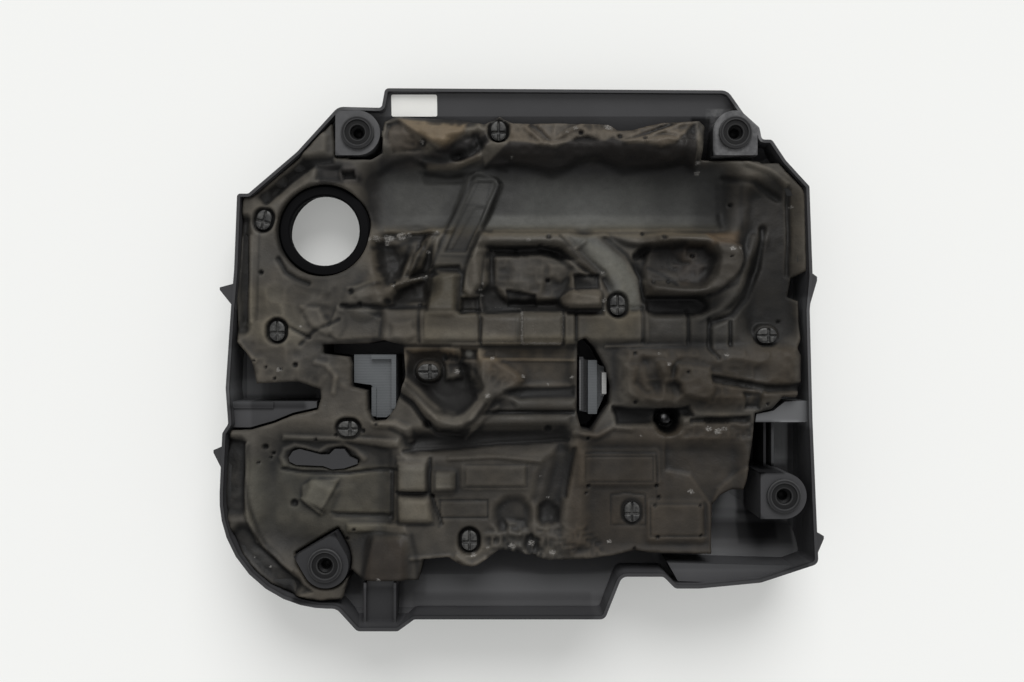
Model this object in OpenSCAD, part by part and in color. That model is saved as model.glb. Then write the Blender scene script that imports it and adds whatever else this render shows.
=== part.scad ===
// Engine cover, lying with its underside up: a moulded shell that holds a
// foam pad, four ball-stud grommets and the push clips of the pad.
// The shell's rim lies in one plane that climbs from the rear edge to the
// front skirt. The outer face has a flat middle, on which the cover rests.

/* [Cover] */
// Width across the two side skirts, without the hooks
cover_w = 524; // [500:1:550]
// Length from the front tab to the rear edge
cover_l = 477; // [455:1:500]
// Height of the rear edge
rear_h = 45; // [42:1:52]
// Height of the front skirt
front_h = 86; // [80:1:92]
// Thickness of the moulded shell
wall = 2.8; // [2.2:0.1:3.4]
// Lean of a skirt, for each millimetre of its height
draft = 0.08; // [0.04:0.01:0.12]
// Radius of the roll between a skirt and the outer face
roll = 14; // [10:1:18]
// Rise of the outer face at the rear edge
rear_rise = 37; // [30:1:39]
// Rise of the outer face at the front skirt
front_rise = 46; // [38:1:50]
// Rise of the outer face at the side skirts
side_rise = 16; // [10:1:20]
// Width of the flat middle of the outer face
flat_w = 350; // [320:1:370]
// Length of the flat middle of the outer face
flat_l = 250; // [230:1:270]
// Radius of the big front corner on the left
corner_r = 96; // [80:1:105]

/* [Oil filler opening] */
// Diameter of the opening
filler_d = 63; // [58:0.5:68]
// Diameter of the collar
collar_d = 82; // [78:0.5:88]
// Height of the collar
collar_h = 43; // [38:1:46]
// Height of the narrow throat at the top of the collar
throat_h = 8; // [6:0.5:12]

/* [Grommets] */
// Diameter of a grommet's flange
grommet_d = 29.6; // [26:0.2:32]
// Diameter of the neck that sits in the boss plate
neck_d = 22; // [20:0.2:23]
// Height of the flange over the boss plate
flange_h = 3.4; // [2.8:0.1:4.2]
// Diameter of the socket's mouth
mouth_d = 13; // [12:0.2:14]
// Diameter of the ball that snaps into the socket
ball_d = 10; // [9:0.2:11]
// Width of a boss, and the diameter of its round end
boss_w = 40; // [36:0.5:44]
// Height of a boss over the rim plane
boss_proud = 1; // [0:0.5:3]
// Thickness of a boss plate
boss_plate = 3; // [2.5:0.1:4]

/* [Foam pad] */
// Clearance between the pad and what it touches
foam_gap = 0.5; // [0.4:0.1:1]
// Depth of the pad's general surface below the rim plane
foam_drop = 3; // [2:0.5:5]
// Pitch of the surface grid of the pad
pad_pitch = 8.4; // [8:0.2:12]
// Depth of the long trough across the rear
trough_d = 22; // [15:1:24]

/* [Clips and label] */
// Width of a clip head
clip_w = 13; // [12:0.5:15]
// Length of a clip head
clip_l = 17.5; // [16:0.5:19]
// Thickness of a clip head
clip_t = 4; // [3:0.2:5]
// Diameter of a clip's shank
shank_d = 6; // [5:0.2:6.6]
// Diameter of the well around a clip
well_d = 20; // [18:0.5:23]
// Width of the bare label
label_w = 41.5; // [38:0.5:44]
// Height of the bare label
label_l = 20; // [17:0.5:21]

/* [Stepped inserts] */
// Depth of the inserts' main faces below the rim plane
insert_drop = 16; // [12:1:22]
// Height of the inserts' raised ribs over their main faces
insert_rib = 4; // [2:0.5:7]

/* [Hidden] */
$fn = 48;
right = cover_w / 2;
left = -right;
rear = cover_l / 2;
front = -rear;
centre = [0, 15];
over = 60;
fit = 0.1;

// Corners of the rim, clockwise from the rear: x, y and rounding radius
rim_corners = [
    [left + 143, rear, 4], [right - 73, rear - 2, 10], [right - 59, rear - 23, 5],
    [right - 45, rear - 36, 4], [right - 43, rear - 47, 3], [right - 34, rear - 47, 4],
    [right - 22, rear - 66, 8], [right, rear - 91, 8], [right, rear - 165, 12],
    [right - 4, rear - 200, 12], [right - 4, front + 180, 20], [right - 2, front + 57, 6],
    [right - 52, front + 41, 8], [right - 105, front + 36, 10], [right - 126, front + 36, 5],
    [right - 136, front + 46, 5], [right - 172, front + 46, 7], [right - 187, front + 10, 6],
    [left + 173, front + 10, 3], [left + 159, front, 4], [left + 124, front, 6],
    [left + 106, front + 19, 9], [left + 1, front + 20, corner_r], [left + 4, front + 169, 4],
    [left + 9, front + 177, 4], [left + 6, front + 208, 10], [left + 9, rear - 198, 12],
    [left + 11, rear - 164, 5], [left + 12, rear - 96, 3], [left + 22, rear - 96, 3],
    [left + 65, rear - 58, 10], [left + 101, rear - 17, 10], [left + 140, rear - 18, 3],
];

// Outline of the foam pad, clockwise from its rear left corner
pad_outline = [
    [left + 16, rear - 98], [left + 24, rear - 98], [left + 66, rear - 64], [left + 96, rear - 35],
    [left + 99, rear - 62], [left + 114, rear - 64], [left + 130, rear - 64], [left + 141, rear - 58],
    [left + 142, rear - 30], [left + 152, rear - 25], [left + 206, rear - 28], [left + 232, rear - 32],
    [left + 246, rear - 25], [left + 258, rear - 32], [left + 318, rear - 32], [left + 344, rear - 33],
    [left + 352, rear - 39], [left + 364, rear - 39], [left + 378, rear - 35], [left + 394, rear - 31],
    [right - 98, rear - 29], [right - 93, rear - 34], [right - 96, rear - 64], [right - 45, rear - 66],
    [right - 42, rear - 68], [right - 28, rear - 68], [right - 8, rear - 92], [right - 5, rear - 100],
    [right - 5, rear - 165], [right - 16, rear - 171], [right - 19, rear - 188], [right - 11, rear - 192],
    [right - 11, rear - 226], [right - 14, rear - 234], [right - 11, rear - 240], [right - 12, front + 212],
    [right - 17, front + 200], [right - 30, front + 201], [right - 38, front + 190], [right - 53, front + 186],
    [right - 56, front + 158], [right - 61, front + 128], [right - 64, front + 119], [right - 74, front + 119],
    [right - 84, front + 114], [right - 91, front + 106], [right - 93, front + 64], [right - 147, front + 65],
    [right - 160, front + 67], [right - 178, front + 63], [right - 200, front + 60], [right - 235, front + 59],
    [left + 262, front + 66], [left + 246, front + 68], [left + 238, front + 62], [left + 226, front + 54],
    [left + 214, front + 54], [left + 202, front + 62], [left + 180, front + 60], [left + 176, front + 42],
    [left + 128, front + 42], [left + 117, front + 52], [left + 110, front + 26], [left + 92, front + 25],
    [left + 62, front + 29], [left + 30, front + 54], [left + 10, front + 84], [left + 4.5, front + 116],
    [left + 5.5, front + 150], [left + 10, front + 171], [left + 26, front + 171], [left + 47, front + 177],
    [left + 64, front + 184], [left + 86, front + 189], [left + 89, front + 200], [left + 88, front + 207],
    [left + 68, front + 214], [left + 32, front + 212], [left + 27, front + 232], [left + 22, front + 240],
    [left + 14, front + 248], [left + 12, rear - 190],
];

// Window in the pad over the stepped insert
window = [
    [-172, 8], [-133, 9], [-118, 12], [-101, 7], [-99, -24], [-108, -48], [-116, -59], [-127, -60],
    [-132, -50], [-133, -33], [-146.5, -29.5], [-147, -18], [-146.4, -10], [-149, -3], [-172, 0],
];

// Slot in the pad over the slot insert
slot = [
    [60, 14], [53, 11], [52, -52], [56, -66], [65, -68], [81, -44], [82, -29], [78, -12], [68, 6],
];

// Opening in the pad through which the shell shows
kidney = [
    [-203, -92], [-199, -86], [-193, -84], [-174, -89], [-167, -89], [-162, -84], [-153, -84],
    [-148, -91], [-141, -94], [-141, -98], [-153, -102], [-164, -103], [-172, -100], [-196, -99], [-202, -96],
];

// Bosses: name, place of the ball stud and direction of the flat side
bosses = [
    ["rear_left", left + 119, rear - 41, 180],
    ["rear_right", right - 67, rear - 41, 270],
    ["front_right", right - 31, front + 115, 180],
    ["front_left", left + 96, front + 56, 120],
];

// Clips: place and turn of the oval head
clips = [
    [-17, rear - 38, 0], [left + 35, rear - 119, -15], [left + 49, 20, 0],
    [89, 43, 0], [right - 41, 16, 90], [-79, -16, 90],
    [-149, -66, 90], [100, -138, 0], [-42, front + 76, 0],
];

// Forms of the pad's surface, each a soft rounded box: centre x and y, half
// width, half length, turn, corner radius, width of its slope and height
pad_forms = [
    // Long trough, its raised arm and the strip below the arm
    [28, rear - 98, 167, 29, 0, 22, 30, -trough_d],
    [-37, 140, 14, 23, -22, 11, 10, 14],
    [-55, 96, 14, 25, -22, 8, 10, 4],
    [-67, 56, 13, 20, -2, 6, 10, 6],
    // Ridge along the rear edge, with its valley
    [20, 190, 145, 10, -1, 8, 12, 5],
    [-75, 194, 36, 9, -12, 5, 14, 6],
    [-46, 187, 15, 9, 20, 6, 10, -9],
    [115, 186, 40, 9, 0, 6, 16, 5],
    // Row of blocks across the middle
    [-3, 24, 116, 14, 0, 5, 10, 5],
    [22, 24, 19, 13, 0, 3, 9, 4],
    [150, 24, 42, 12, 0, 5, 12, 3],
    // Crumpled pockets left of the arm
    [-98, 78, 24, 34, 10, 14, 14, -13],
    [-104, 66, 5, 30, -35, 4, 12, 9],
    [-130, 52, 20, 12, 40, 8, 14, 7],
    // Recess and ridges in the middle
    [4, 66, 38, 30, 0, 12, 14, -14],
    [-34, 84, 7, 26, 8, 6, 12, 9],
    [20, 103, 60, 5, 0, 4, 8, 4],
    [56, 48, 18, 7, 0, 4, 6, 8],
    [80, 76, 9, 42, 36, 9, 16, -11],
    // Ear-shaped ring on the right
    [156, 78, 46, 30, -8, 26, 16, 9],
    [121, 80, 16, 13, 8, 10, 10, -16],
    [151, 78, 20, 16, -12, 12, 16, -9],
    [142, 42, 24, 7, 0, 6, 12, -12],
    // Hollow along the right edge
    [right - 36, 82, 24, 70, 0, 20, 24, -13],
    [200, 70, 5, 42, -30, 5, 14, 5],
    // Rough raised region and its ear
    [168, -20, 78, 24, 0, 10, 14, 7],
    [122, -26, 12, 18, 20, 8, 10, 6],
    // Winding lip and the valley below it
    [-54, -60, 20, 6, 0, 6, 10, 7],
    [-87, -40, 6, 24, 47, 6, 10, 7],
    [-34, -48, 6, 14, -37, 6, 10, 7],
    [-14, -22, 18, 16, -30, 10, 12, 4],
    [-26, -76, 72, 8, 2, 8, 16, -12],
    [-68, -24, 28, 22, 0, 16, 16, -9],
    // Basin at the lower left, its pads and its groove
    [-168, -124, 60, 52, 0, 30, 30, -12],
    [-174, -125, 12, 11, -24, 4, 8, 3],
    [-248, -108, 9, 34, 0, 6, 8, -5],
    [-220, -180, 9, 38, 47, 6, 8, -5],
    [-92, -108, 13, 12, 0, 4, 8, 7],
    [-90, -136, 14, 10, 0, 3, 8, 6],
    [-66, -112, 10, 9, 0, 3, 8, 5],
    [-114, -179, 17, 20, 0, 8, 10, 6],
    // Flat field at the lower right and its frames
    [128, -126, 68, 46, 0, 8, 14, -5],
    [89, -100, 35, 15, 0, 3, 8, 3],
    [138, -147, 24, 17, 0, 3, 8, 3],
    [-20, -107, 28, 10, 0, 3, 8, 3],
    // Blade and dents near the front edge
    [34, -116, 8, 34, -14, 6, 10, -4],
    [-4, -140, 15, 15, 0, 14, 10, -7],
    [26, -140, 9, 9, 0, 8, 8, -5],
    [132.5, -60, 10, 10, 0, 9, 8, -17],
    // Flat stretch and ridge at the left edge
    [left + 18, 70, 5, 52, 0, 4, 10, -7],
    [-209, 153, 7, 27, -52, 6, 12, -6],
];

function lerp(a, b, t) = a + (b - a) * t;
function unit(v) = v / norm(v);
function clamp(v) = min(1, max(0, v));
function smooth(t) = t * t * (3 - 2 * t);
function rim_z(y) = lerp(front_h, rear_h, (y - front) / cover_l);

// Points of one rounded corner, from the side of a to the side of b
function corner(a, p, b, r) =
    let(u = unit(a - p), v = unit(b - p), half = acos(u * v) / 2,
        middle = p + unit(u + v) * r / sin(half),
        from = p + u * r / tan(half) - middle, to = p + v * r / tan(half) - middle,
        steps = max(1, round((180 - 2 * half) / (r > 50 ? 9 : 18))))
    [for (k = [0:steps]) middle + r * unit(lerp(from, to, k / steps))];

// Rim outline: rounded corners, with long straight stretches split up
last = len(rim_corners) - 1;
rounded = [
    for (i = [0:last])
        let(a = rim_corners[i == 0 ? last : i - 1], p = rim_corners[i], b = rim_corners[i == last ? 0 : i + 1])
        each corner([a[0], a[1]], [p[0], p[1]], [b[0], b[1]], p[2])
];
split_at = 62;
rim = [
    for (i = [0:len(rounded) - 1])
        let(p = rounded[i], q = rounded[(i + 1) % len(rounded)], parts = ceil(norm(q - p) / split_at))
        for (k = [0:parts - 1]) lerp(p, q, k / parts)
];

// Profile from a skirt's rim to the flat middle: distance in from the edge,
// and height. The skirt leans, rolls over and runs into the crowned face.
face_steps = [0.8, 0.6, 0.4, 0.2, 0];
function edge_profile(flat_edge, height, rise, inset) =
    let(skirt = height - rise, bend = min(roll, 0.5 * skirt), lean = draft * skirt,
        inner = max(bend - inset, 0.4))
    concat(
        [[inset, front_h + over], [inset, height], [lean + inset, rise + bend]],
        [for (turn = [30, 60, 90]) [lean + bend - inner * cos(turn), rise + inset + inner * (1 - sin(turn))]],
        [for (t = face_steps) [lerp(flat_edge, lean + bend, t), inset + rise * smooth(t)]]);
function rear_profile(inset) = edge_profile(rear - centre[1] - flat_l / 2, rear_h, rear_rise, inset);
function front_profile(inset) = edge_profile(centre[1] - front - flat_l / 2, front_h, front_rise, inset);
function side_profile(inset) = edge_profile(right - flat_w / 2, rim_z(0), side_rise, inset);
function flipped(list) = [for (k = [len(list) - 1:-1:0]) list[k]];

// Tray as the meeting of three outlines: from above, from the side and from
// the front. A larger inset gives the space inside the shell.
module tray_form(inset) {
    length_outline = concat(
        [for (q = front_profile(inset)) [front + q[0], q[1]]],
        flipped([for (q = rear_profile(inset)) [rear - q[0], q[1]]]));
    sides = side_profile(inset);
    width_outline = concat(
        [for (q = sides) [left + q[0], q[1]]], flipped([for (q = sides) [right - q[0], q[1]]]));
    intersection() {
        linear_extrude(front_h + over) offset(delta = -inset) polygon(rim);
        rotate([90, 0, 90]) translate([0, 0, left - 10])
            linear_extrude(cover_w + 20) polygon(length_outline);
        rotate([90, 0, 0]) translate([0, 0, front - 10])
            linear_extrude(cover_l + 20) polygon(width_outline);
    }
}

// Everything above the rim plane
module above_rim() {
    reach = 10;
    rotate([90, 0, 90]) translate([0, 0, left - reach]) linear_extrude(cover_w + 2 * reach)
        polygon([
            [front - reach, rim_z(front - reach)], [rear + reach, rim_z(rear + reach)],
            [rear + reach, front_h + 2 * over], [front - reach, front_h + 2 * over],
        ]);
}

// D-shaped outline of a boss, with the flat side towards +X
module boss_outline(w) {
    circle(d = w);
    translate([0, -w / 2]) square([w / 2, w]);
}

function boss_top(b) = rim_z(b[2]) + boss_proud;
function clip_z(c) = rim_z(c[1]) - foam_drop - clip_t - 1.5;
post_d = shank_d + 3.2;

// Columns that stand on the shell's floor: bosses, clip posts, ledges and ribs
module columns() {
    for (b = bosses)
        translate([b[1], b[2], 0]) rotate(b[3])
            linear_extrude(boss_top(b)) boss_outline(boss_w);
    for (c = clips)
        translate([c[0], c[1], 0]) cylinder(d = post_d, h = clip_z(c) - fit);
    // Ledge and upright ribs in the recess on the right
    linear_extrude(rim_z(front + 184) - 8)
        polygon([
            [right - 52, front + 178], [right - 3, front + 178], [right - 3, front + 197],
            [right - 26, front + 196], [right - 36, front + 188], [right - 51, front + 185],
        ]);
    for (x = [right - 43, right - 36])
        translate([x, front + 138, 0]) cube([wall - 0.6, 40, rim_z(front + 158) - 18]);
    // Stepped ledge at the left, where the pad stops short
    linear_extrude(rim_z(front + 185) - 12)
        polygon([
            [left + 4, front + 173], [left + 25, front + 173], [left + 46, front + 179], [left + 63, front + 186],
            [left + 84, front + 190.6], [left + 84, front + 196], [left + 4, front + 196],
        ]);
    translate([left + 4, front + 190, 0]) cube([42, 5.5, rim_z(front + 190) - 10]);
    // Ledge along the front of the right corner
    linear_extrude(rim_z(front + 48) - 9)
        polygon([
            [right - 131, front + 56], [right - 4, front + 53], [right - 22, front + 44],
            [right - 56, front + 38], [right - 122, front + 40],
        ]);
    // Floor of the front tab and the ribs on both sides of it
    translate([left + 130, front + 2, 0]) cube([24, 37, rim_z(front + 20) - 16]);
    for (x = [left + 128, left + 154])
        translate([x, front + 3, 0]) cube([wall - 0.6, 36, rim_z(front + 20) - 10]);
    // Floor under the long opening in the pad
    linear_extrude(rim_z(-94) - 13) offset(delta = -foam_gap) polygon(kidney);
}

// Hollows inside the bosses, open only at the grommet's hole
module boss_hollows() {
    for (b = bosses)
        translate([b[1], b[2], 0]) rotate(b[3])
            linear_extrude(boss_top(b) - boss_plate) boss_outline(boss_w - 2 * wall);
}

// Hook on the outer side of a skirt, as it is seen from above
module hook(x, y, side, reach, l) {
    t = 12;
    translate([x, y, rim_z(y) - t - 2])
        linear_extrude(t) polygon([[0, 0], [side * reach, -l * 0.16], [side * reach, -l * 0.26], [0, -l]]);
}

// A wide bowl for the filler cap opens to the outer face under the throat
module collar_profile() {
    r = filler_d / 2;
    foot = 1;
    bowl = collar_d / 2 - wall;
    polygon([
        [bowl, foot], [collar_d / 2, foot], [collar_d / 2, collar_h - 1.5], [collar_d / 2 - 1.5, collar_h],
        [r + 1.5, collar_h], [r, collar_h - 1.5], [r, collar_h - throat_h], [bowl, collar_h - throat_h - 4],
    ]);
}

filler = [left + 88, rear - 128];

module shell() color([0.16, 0.16, 0.17])
    difference() {
        union() {
            difference() {
                tray_form(0);
                tray_form(wall);
                above_rim();
            }
            intersection() {
                columns();
                tray_form(wall / 2);
            }
            translate([filler[0], filler[1], 0]) rotate_extrude() collar_profile();
            hook(left + 12.2, rear - 176, -1, 14.2, 24);
            hook(left + 5, front + 158, -1, 9, 24);
            hook(right - 3.4, rear - 165, 1, 7.4, 34);
            hook(right - 3.6, front + 84, 1, 7.6, 24);
        }
        intersection() {
            boss_hollows();
            tray_form(wall + 0.3);
        }
        for (b = bosses)
            translate([b[1], b[2], boss_top(b) - boss_plate - 1]) cylinder(d = neck_d, h = boss_plate + 2);
        for (c = clips)
            translate([c[0], c[1], clip_z(c) - 14]) cylinder(d = shank_d + 2 * fit, h = 15);
        translate([filler[0], filler[1], -1]) cylinder(d = collar_d - 2 * wall, h = collar_h - throat_h - 3);
    }

// Height of one soft rounded box at a point
function form_height(f, x, y) =
    let(dx = x - f[0], dy = y - f[1], c = cos(f[4]), s = sin(f[4]),
        qx = abs(dx * c + dy * s) - f[2] + f[5], qy = abs(dy * c - dx * s) - f[3] + f[5],
        away = norm([max(qx, 0), max(qy, 0)]) + min(max(qx, qy), 0) - f[5])
    f[7] * smooth(clamp(0.5 - away / f[6]));

// The general surface is slightly uneven, as moulded foam is
function pad_z(x, y) =
    rim_z(y) - foam_drop + 0.5 * sin(5.3 * x + 2.1 * y) * cos(4.7 * y - 1.3 * x) + [for (f = pad_forms) form_height(f, x, y)] * [for (f = pad_forms) 1];

// Block with the pad's surface on top, before it is trimmed
module relief_block() {
    nx = round((cover_w - 4) / pad_pitch);
    ny = round((cover_l - 46) / pad_pitch);
    x0 = left + 2;
    y0 = front + 22;
    dx = (cover_w - 4) / nx;
    dy = (cover_l - 46) / ny;
    across = nx + 1;
    top = [for (j = [0:ny]) for (i = [0:nx]) [x0 + i * dx, y0 + j * dy, pad_z(x0 + i * dx, y0 + j * dy)]];
    border = [
        for (i = [0:nx - 1]) i,
        for (j = [0:ny - 1]) j * across + nx,
        for (i = [nx:-1:1]) ny * across + i,
        for (j = [ny:-1:1]) j * across,
    ];
    edge = len(border);
    base = len(top);
    polyhedron(
        points = concat(top, [for (k = border) [top[k][0], top[k][1], -10]]),
        faces = concat(
            [for (j = [0:ny - 1]) for (i = [0:nx - 1])
                let(a = j * across + i)
                each [[a, a + across + 1, a + 1], [a, a + across, a + across + 1]]],
            [for (k = [0:edge - 1])
                let(m = (k + 1) % edge)
                each [[border[k], border[m], base + m], [border[k], base + m, base + k]]],
            [[for (k = [0:edge - 1]) base + k]]));
}

// Oval well around a clip, over the hole for its post
module clip_well(c) {
    translate([c[0], c[1], 0]) rotate(c[2]) {
        translate([0, 0, clip_z(c) - foam_gap])
            hull() for (s = [-1, 1]) translate([0, s * 1.5, 0]) cylinder(d = well_d, h = over, $fn = 20);
        cylinder(d = post_d + 2 * foam_gap + 0.2, h = 200, $fn = 20);
    }
}

module through(points) {
    translate([0, 0, -over]) linear_extrude(front_h + 2 * over) polygon(points);
}

module foam_pad() color([0.2, 0.18, 0.16])
    difference() {
        intersection() {
            relief_block();
            tray_form(wall + foam_gap);
            through(pad_outline);
        }
        for (c = clips) clip_well(c);
        for (b = bosses)
            translate([b[1], b[2], 0]) rotate(b[3])
                linear_extrude(2 * over) offset(delta = 2) boss_outline(boss_w);
        translate([filler[0], filler[1], -1]) cylinder(d = collar_d + 3, h = 2 * over);
        through(window);
        through(slot);
        through(kidney);
        // Room for the ribs of the recess on the right and for the ledge at the front
        translate([right - 54, front + 136, 0]) cube([52, 57, 2 * over]);
        translate([right - 133, front + 36, 0]) cube([91, 22, 2 * over]);
    }

// Stepped moulding under the window: a hollow tower with a raised L rib
module stepped_insert() color([0.41, 0.44, 0.46]) {
    top = rim_z(-25) - insert_drop;
    face = [[-145.8, -1], [-108, -1], [-108, -50], [-117, -57], [-126, -57], [-126, -33], [-131, -28], [-145.8, -26]];
    difference() {
        union() {
            translate([0, 0, wall]) linear_extrude(top - wall) polygon(face);
            translate([-130, -5, top - 1]) cube([22, 4, insert_rib + 1]);
            translate([-112, -49, top - 1]) cube([4, 48, insert_rib + 1]);
            translate([-130, -56, top - 1]) cube([4, 26, insert_rib - 1]);
        }
        translate([0, 0, wall - 1]) linear_extrude(top - 2 * wall + 1) offset(delta = -2.4) polygon(face);
    }
}

// Stepped moulding under the slot: a rail, a channel and a lower plate
module slot_insert() color([0.38, 0.4, 0.42]) {
    top = rim_z(-25) - insert_drop;
    foot = [[55, -3], [78, -12], [79, -36], [71, -54], [57, -52]];
    difference() {
        union() {
            translate([0, 0, wall]) linear_extrude(top - 8 - wall) polygon(foot);
            translate([55, -51, top - 10]) cube([3.6, 48, 10 + insert_rib]);
            translate([63, -54, top - 10]) linear_extrude(10) polygon([[0, 0], [8, 0], [8, 48], [0, 48]]);
            translate([75, -36, top - 10]) cube([4, 19, 10 + insert_rib]);
        }
        translate([0, 0, wall - 1]) linear_extrude(top - 10 - 2 * wall) offset(delta = -2.4) polygon(foot);
    }
}

// Rubber grommet with a socket for the ball of a stud
module grommet(b) color([0.07, 0.07, 0.07]) {
    r = grommet_d / 2;
    neck = neck_d / 2 - fit;
    mouth = mouth_d / 2;
    ball = ball_d / 2 + 0.1;
    ball_z = -8.4;
    under = -boss_plate - fit;
    translate([b[1], b[2], boss_top(b)]) rotate_extrude()
        polygon(concat(
            [[0, ball_z - ball - 2.4], [neck - 2, ball_z - ball - 2.4], [neck + 1.4, -9.5], [neck + 1.4, under],
             [neck, under], [neck, fit], [r, fit], [r, flange_h - 0.9], [r - 0.9, flange_h],
             [neck + 0.6, flange_h], [neck, flange_h - 1.4], [mouth + 0.8, flange_h - 1.4],
             [mouth, flange_h - 2.2], [mouth, -2.6], [ball - 0.6, -4.4]],
            [for (a = [35:-12.5:-90]) [max(0, ball * cos(a)), ball_z + ball * sin(a)]]));
}

// Push clip: an oval head, split by a cross, on a round shank
module clip(c) color([0.1, 0.1, 0.1]) {
    slit = 1.3;
    translate([c[0], c[1], clip_z(c)]) rotate(c[2]) difference() {
        union() {
            linear_extrude(clip_t) {
                for (s = [-1, 1]) translate([0, s * (clip_l - clip_w) / 2]) circle(d = clip_w);
                square([clip_w, clip_l - clip_w], center = true);
            }
            translate([0, 0, -13]) cylinder(d = shank_d, h = 14);
        }
        translate([-clip_w, 1, 1.2]) cube([2 * clip_w, slit, clip_t]);
        translate([-slit / 2, -clip_l, 1.2]) cube([slit, 2 * clip_l, clip_t]);
    }
}

// Bare label on the strip along the rear edge, tilted as the strip is
module part_label() color([0.85, 0.85, 0.82]) {
    strip = rear_profile(wall);
    a = strip[5];
    b = strip[6];
    tilt = atan2(a[1] - b[1], b[0] - a[0]);
    translate([left + 147.8, rear - a[0], a[1] + 0.15]) rotate([tilt, 0, 0])
        translate([0, -label_l, 0]) cube([label_w, label_l - 0.6, 0.4]);
}

shell();
foam_pad();
stepped_insert();
slot_insert();
grommet(bosses[0]);  // grommet_rear_left
grommet(bosses[1]);  // grommet_rear_right
grommet(bosses[2]);  // grommet_front_right
grommet(bosses[3]);  // grommet_front_left
clip(clips[0]);  // foam_clip_1
clip(clips[1]);  // foam_clip_2
clip(clips[2]);  // foam_clip_3
clip(clips[3]);  // foam_clip_4
clip(clips[4]);  // foam_clip_5
clip(clips[5]);  // foam_clip_6
clip(clips[6]);  // foam_clip_7
clip(clips[7]);  // foam_clip_8
clip(clips[8]);  // foam_clip_9
part_label();
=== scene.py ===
import math

import bpy
import numpy as np
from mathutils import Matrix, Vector, geometry


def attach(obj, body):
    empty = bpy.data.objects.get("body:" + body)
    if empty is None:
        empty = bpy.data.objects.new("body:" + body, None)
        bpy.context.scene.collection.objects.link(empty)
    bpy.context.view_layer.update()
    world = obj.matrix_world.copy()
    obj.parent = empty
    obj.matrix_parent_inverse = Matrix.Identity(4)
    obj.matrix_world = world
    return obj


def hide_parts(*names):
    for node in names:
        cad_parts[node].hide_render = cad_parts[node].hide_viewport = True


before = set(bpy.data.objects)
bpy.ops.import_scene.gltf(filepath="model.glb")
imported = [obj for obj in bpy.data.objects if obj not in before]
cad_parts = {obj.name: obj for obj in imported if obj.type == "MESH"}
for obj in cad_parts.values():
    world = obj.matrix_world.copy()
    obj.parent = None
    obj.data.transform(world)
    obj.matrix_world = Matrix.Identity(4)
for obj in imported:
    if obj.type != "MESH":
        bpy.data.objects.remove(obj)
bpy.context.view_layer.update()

mm = 0.001
print("frame loaded:", len(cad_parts), "nodes")

# Sizes shared with the part's source, in millimetres
cover = {"width": 524, "length": 477, "rearHeight": 45, "frontHeight": 86, "wall": 2.8}
right, rear = cover["width"] / 2, cover["length"] / 2
left, front = -right, -rear


def rimZ(y):    # the rim plane climbs from the rear edge to the front skirt
    share = (y - front) / cover["length"]
    return cover["frontHeight"] + (cover["rearHeight"] - cover["frontHeight"]) * share


def smooth(t):
    t = np.clip(t, 0, 1)
    return t * t * (3 - 2 * t)


def arcPoints(x, y, radius, start=0, stop=360, steps=48):
    turns = [math.radians(start + (stop - start) * k / steps) for k in range(steps + (stop - start < 360))]
    return [(x + radius * math.cos(a), y + radius * math.sin(a)) for a in turns]


def rect(x0, y0, x1, y1):    # corners of a rectangle, in order round it
    return [(x0, y0), (x1, y0), (x1, y1), (x0, y1)]


# Shader sockets as values: sums on them add Math nodes

class Wire:
    def __init__(self, shop, socket):
        self.shop = shop
        self.socket = socket

    def calc(self, how, a, b=0.0):
        return self.shop.node("ShaderNodeMath", {"operation": how}, {0: a, 1: b})

    def __add__(self, b):
        return self.calc("ADD", self, b)

    def __radd__(self, a):
        return self.calc("ADD", a, self)

    def __sub__(self, b):
        return self.calc("SUBTRACT", self, b)

    def __rsub__(self, a):
        return self.calc("SUBTRACT", a, self)

    def __mul__(self, b):
        return self.calc("MULTIPLY", self, b)

    def __rmul__(self, a):
        return self.calc("MULTIPLY", a, self)

    def clamped(self):
        return self.calc("MAXIMUM", self.calc("MINIMUM", self, 1.0), 0.0)

    def above(self, low, high):    # 0 under low, 1 over high
        sockets = {"Value": self, "From Min": low, "From Max": high}
        return self.shop.node("ShaderNodeMapRange", {"interpolation_type": "SMOOTHSTEP"}, sockets)


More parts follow.
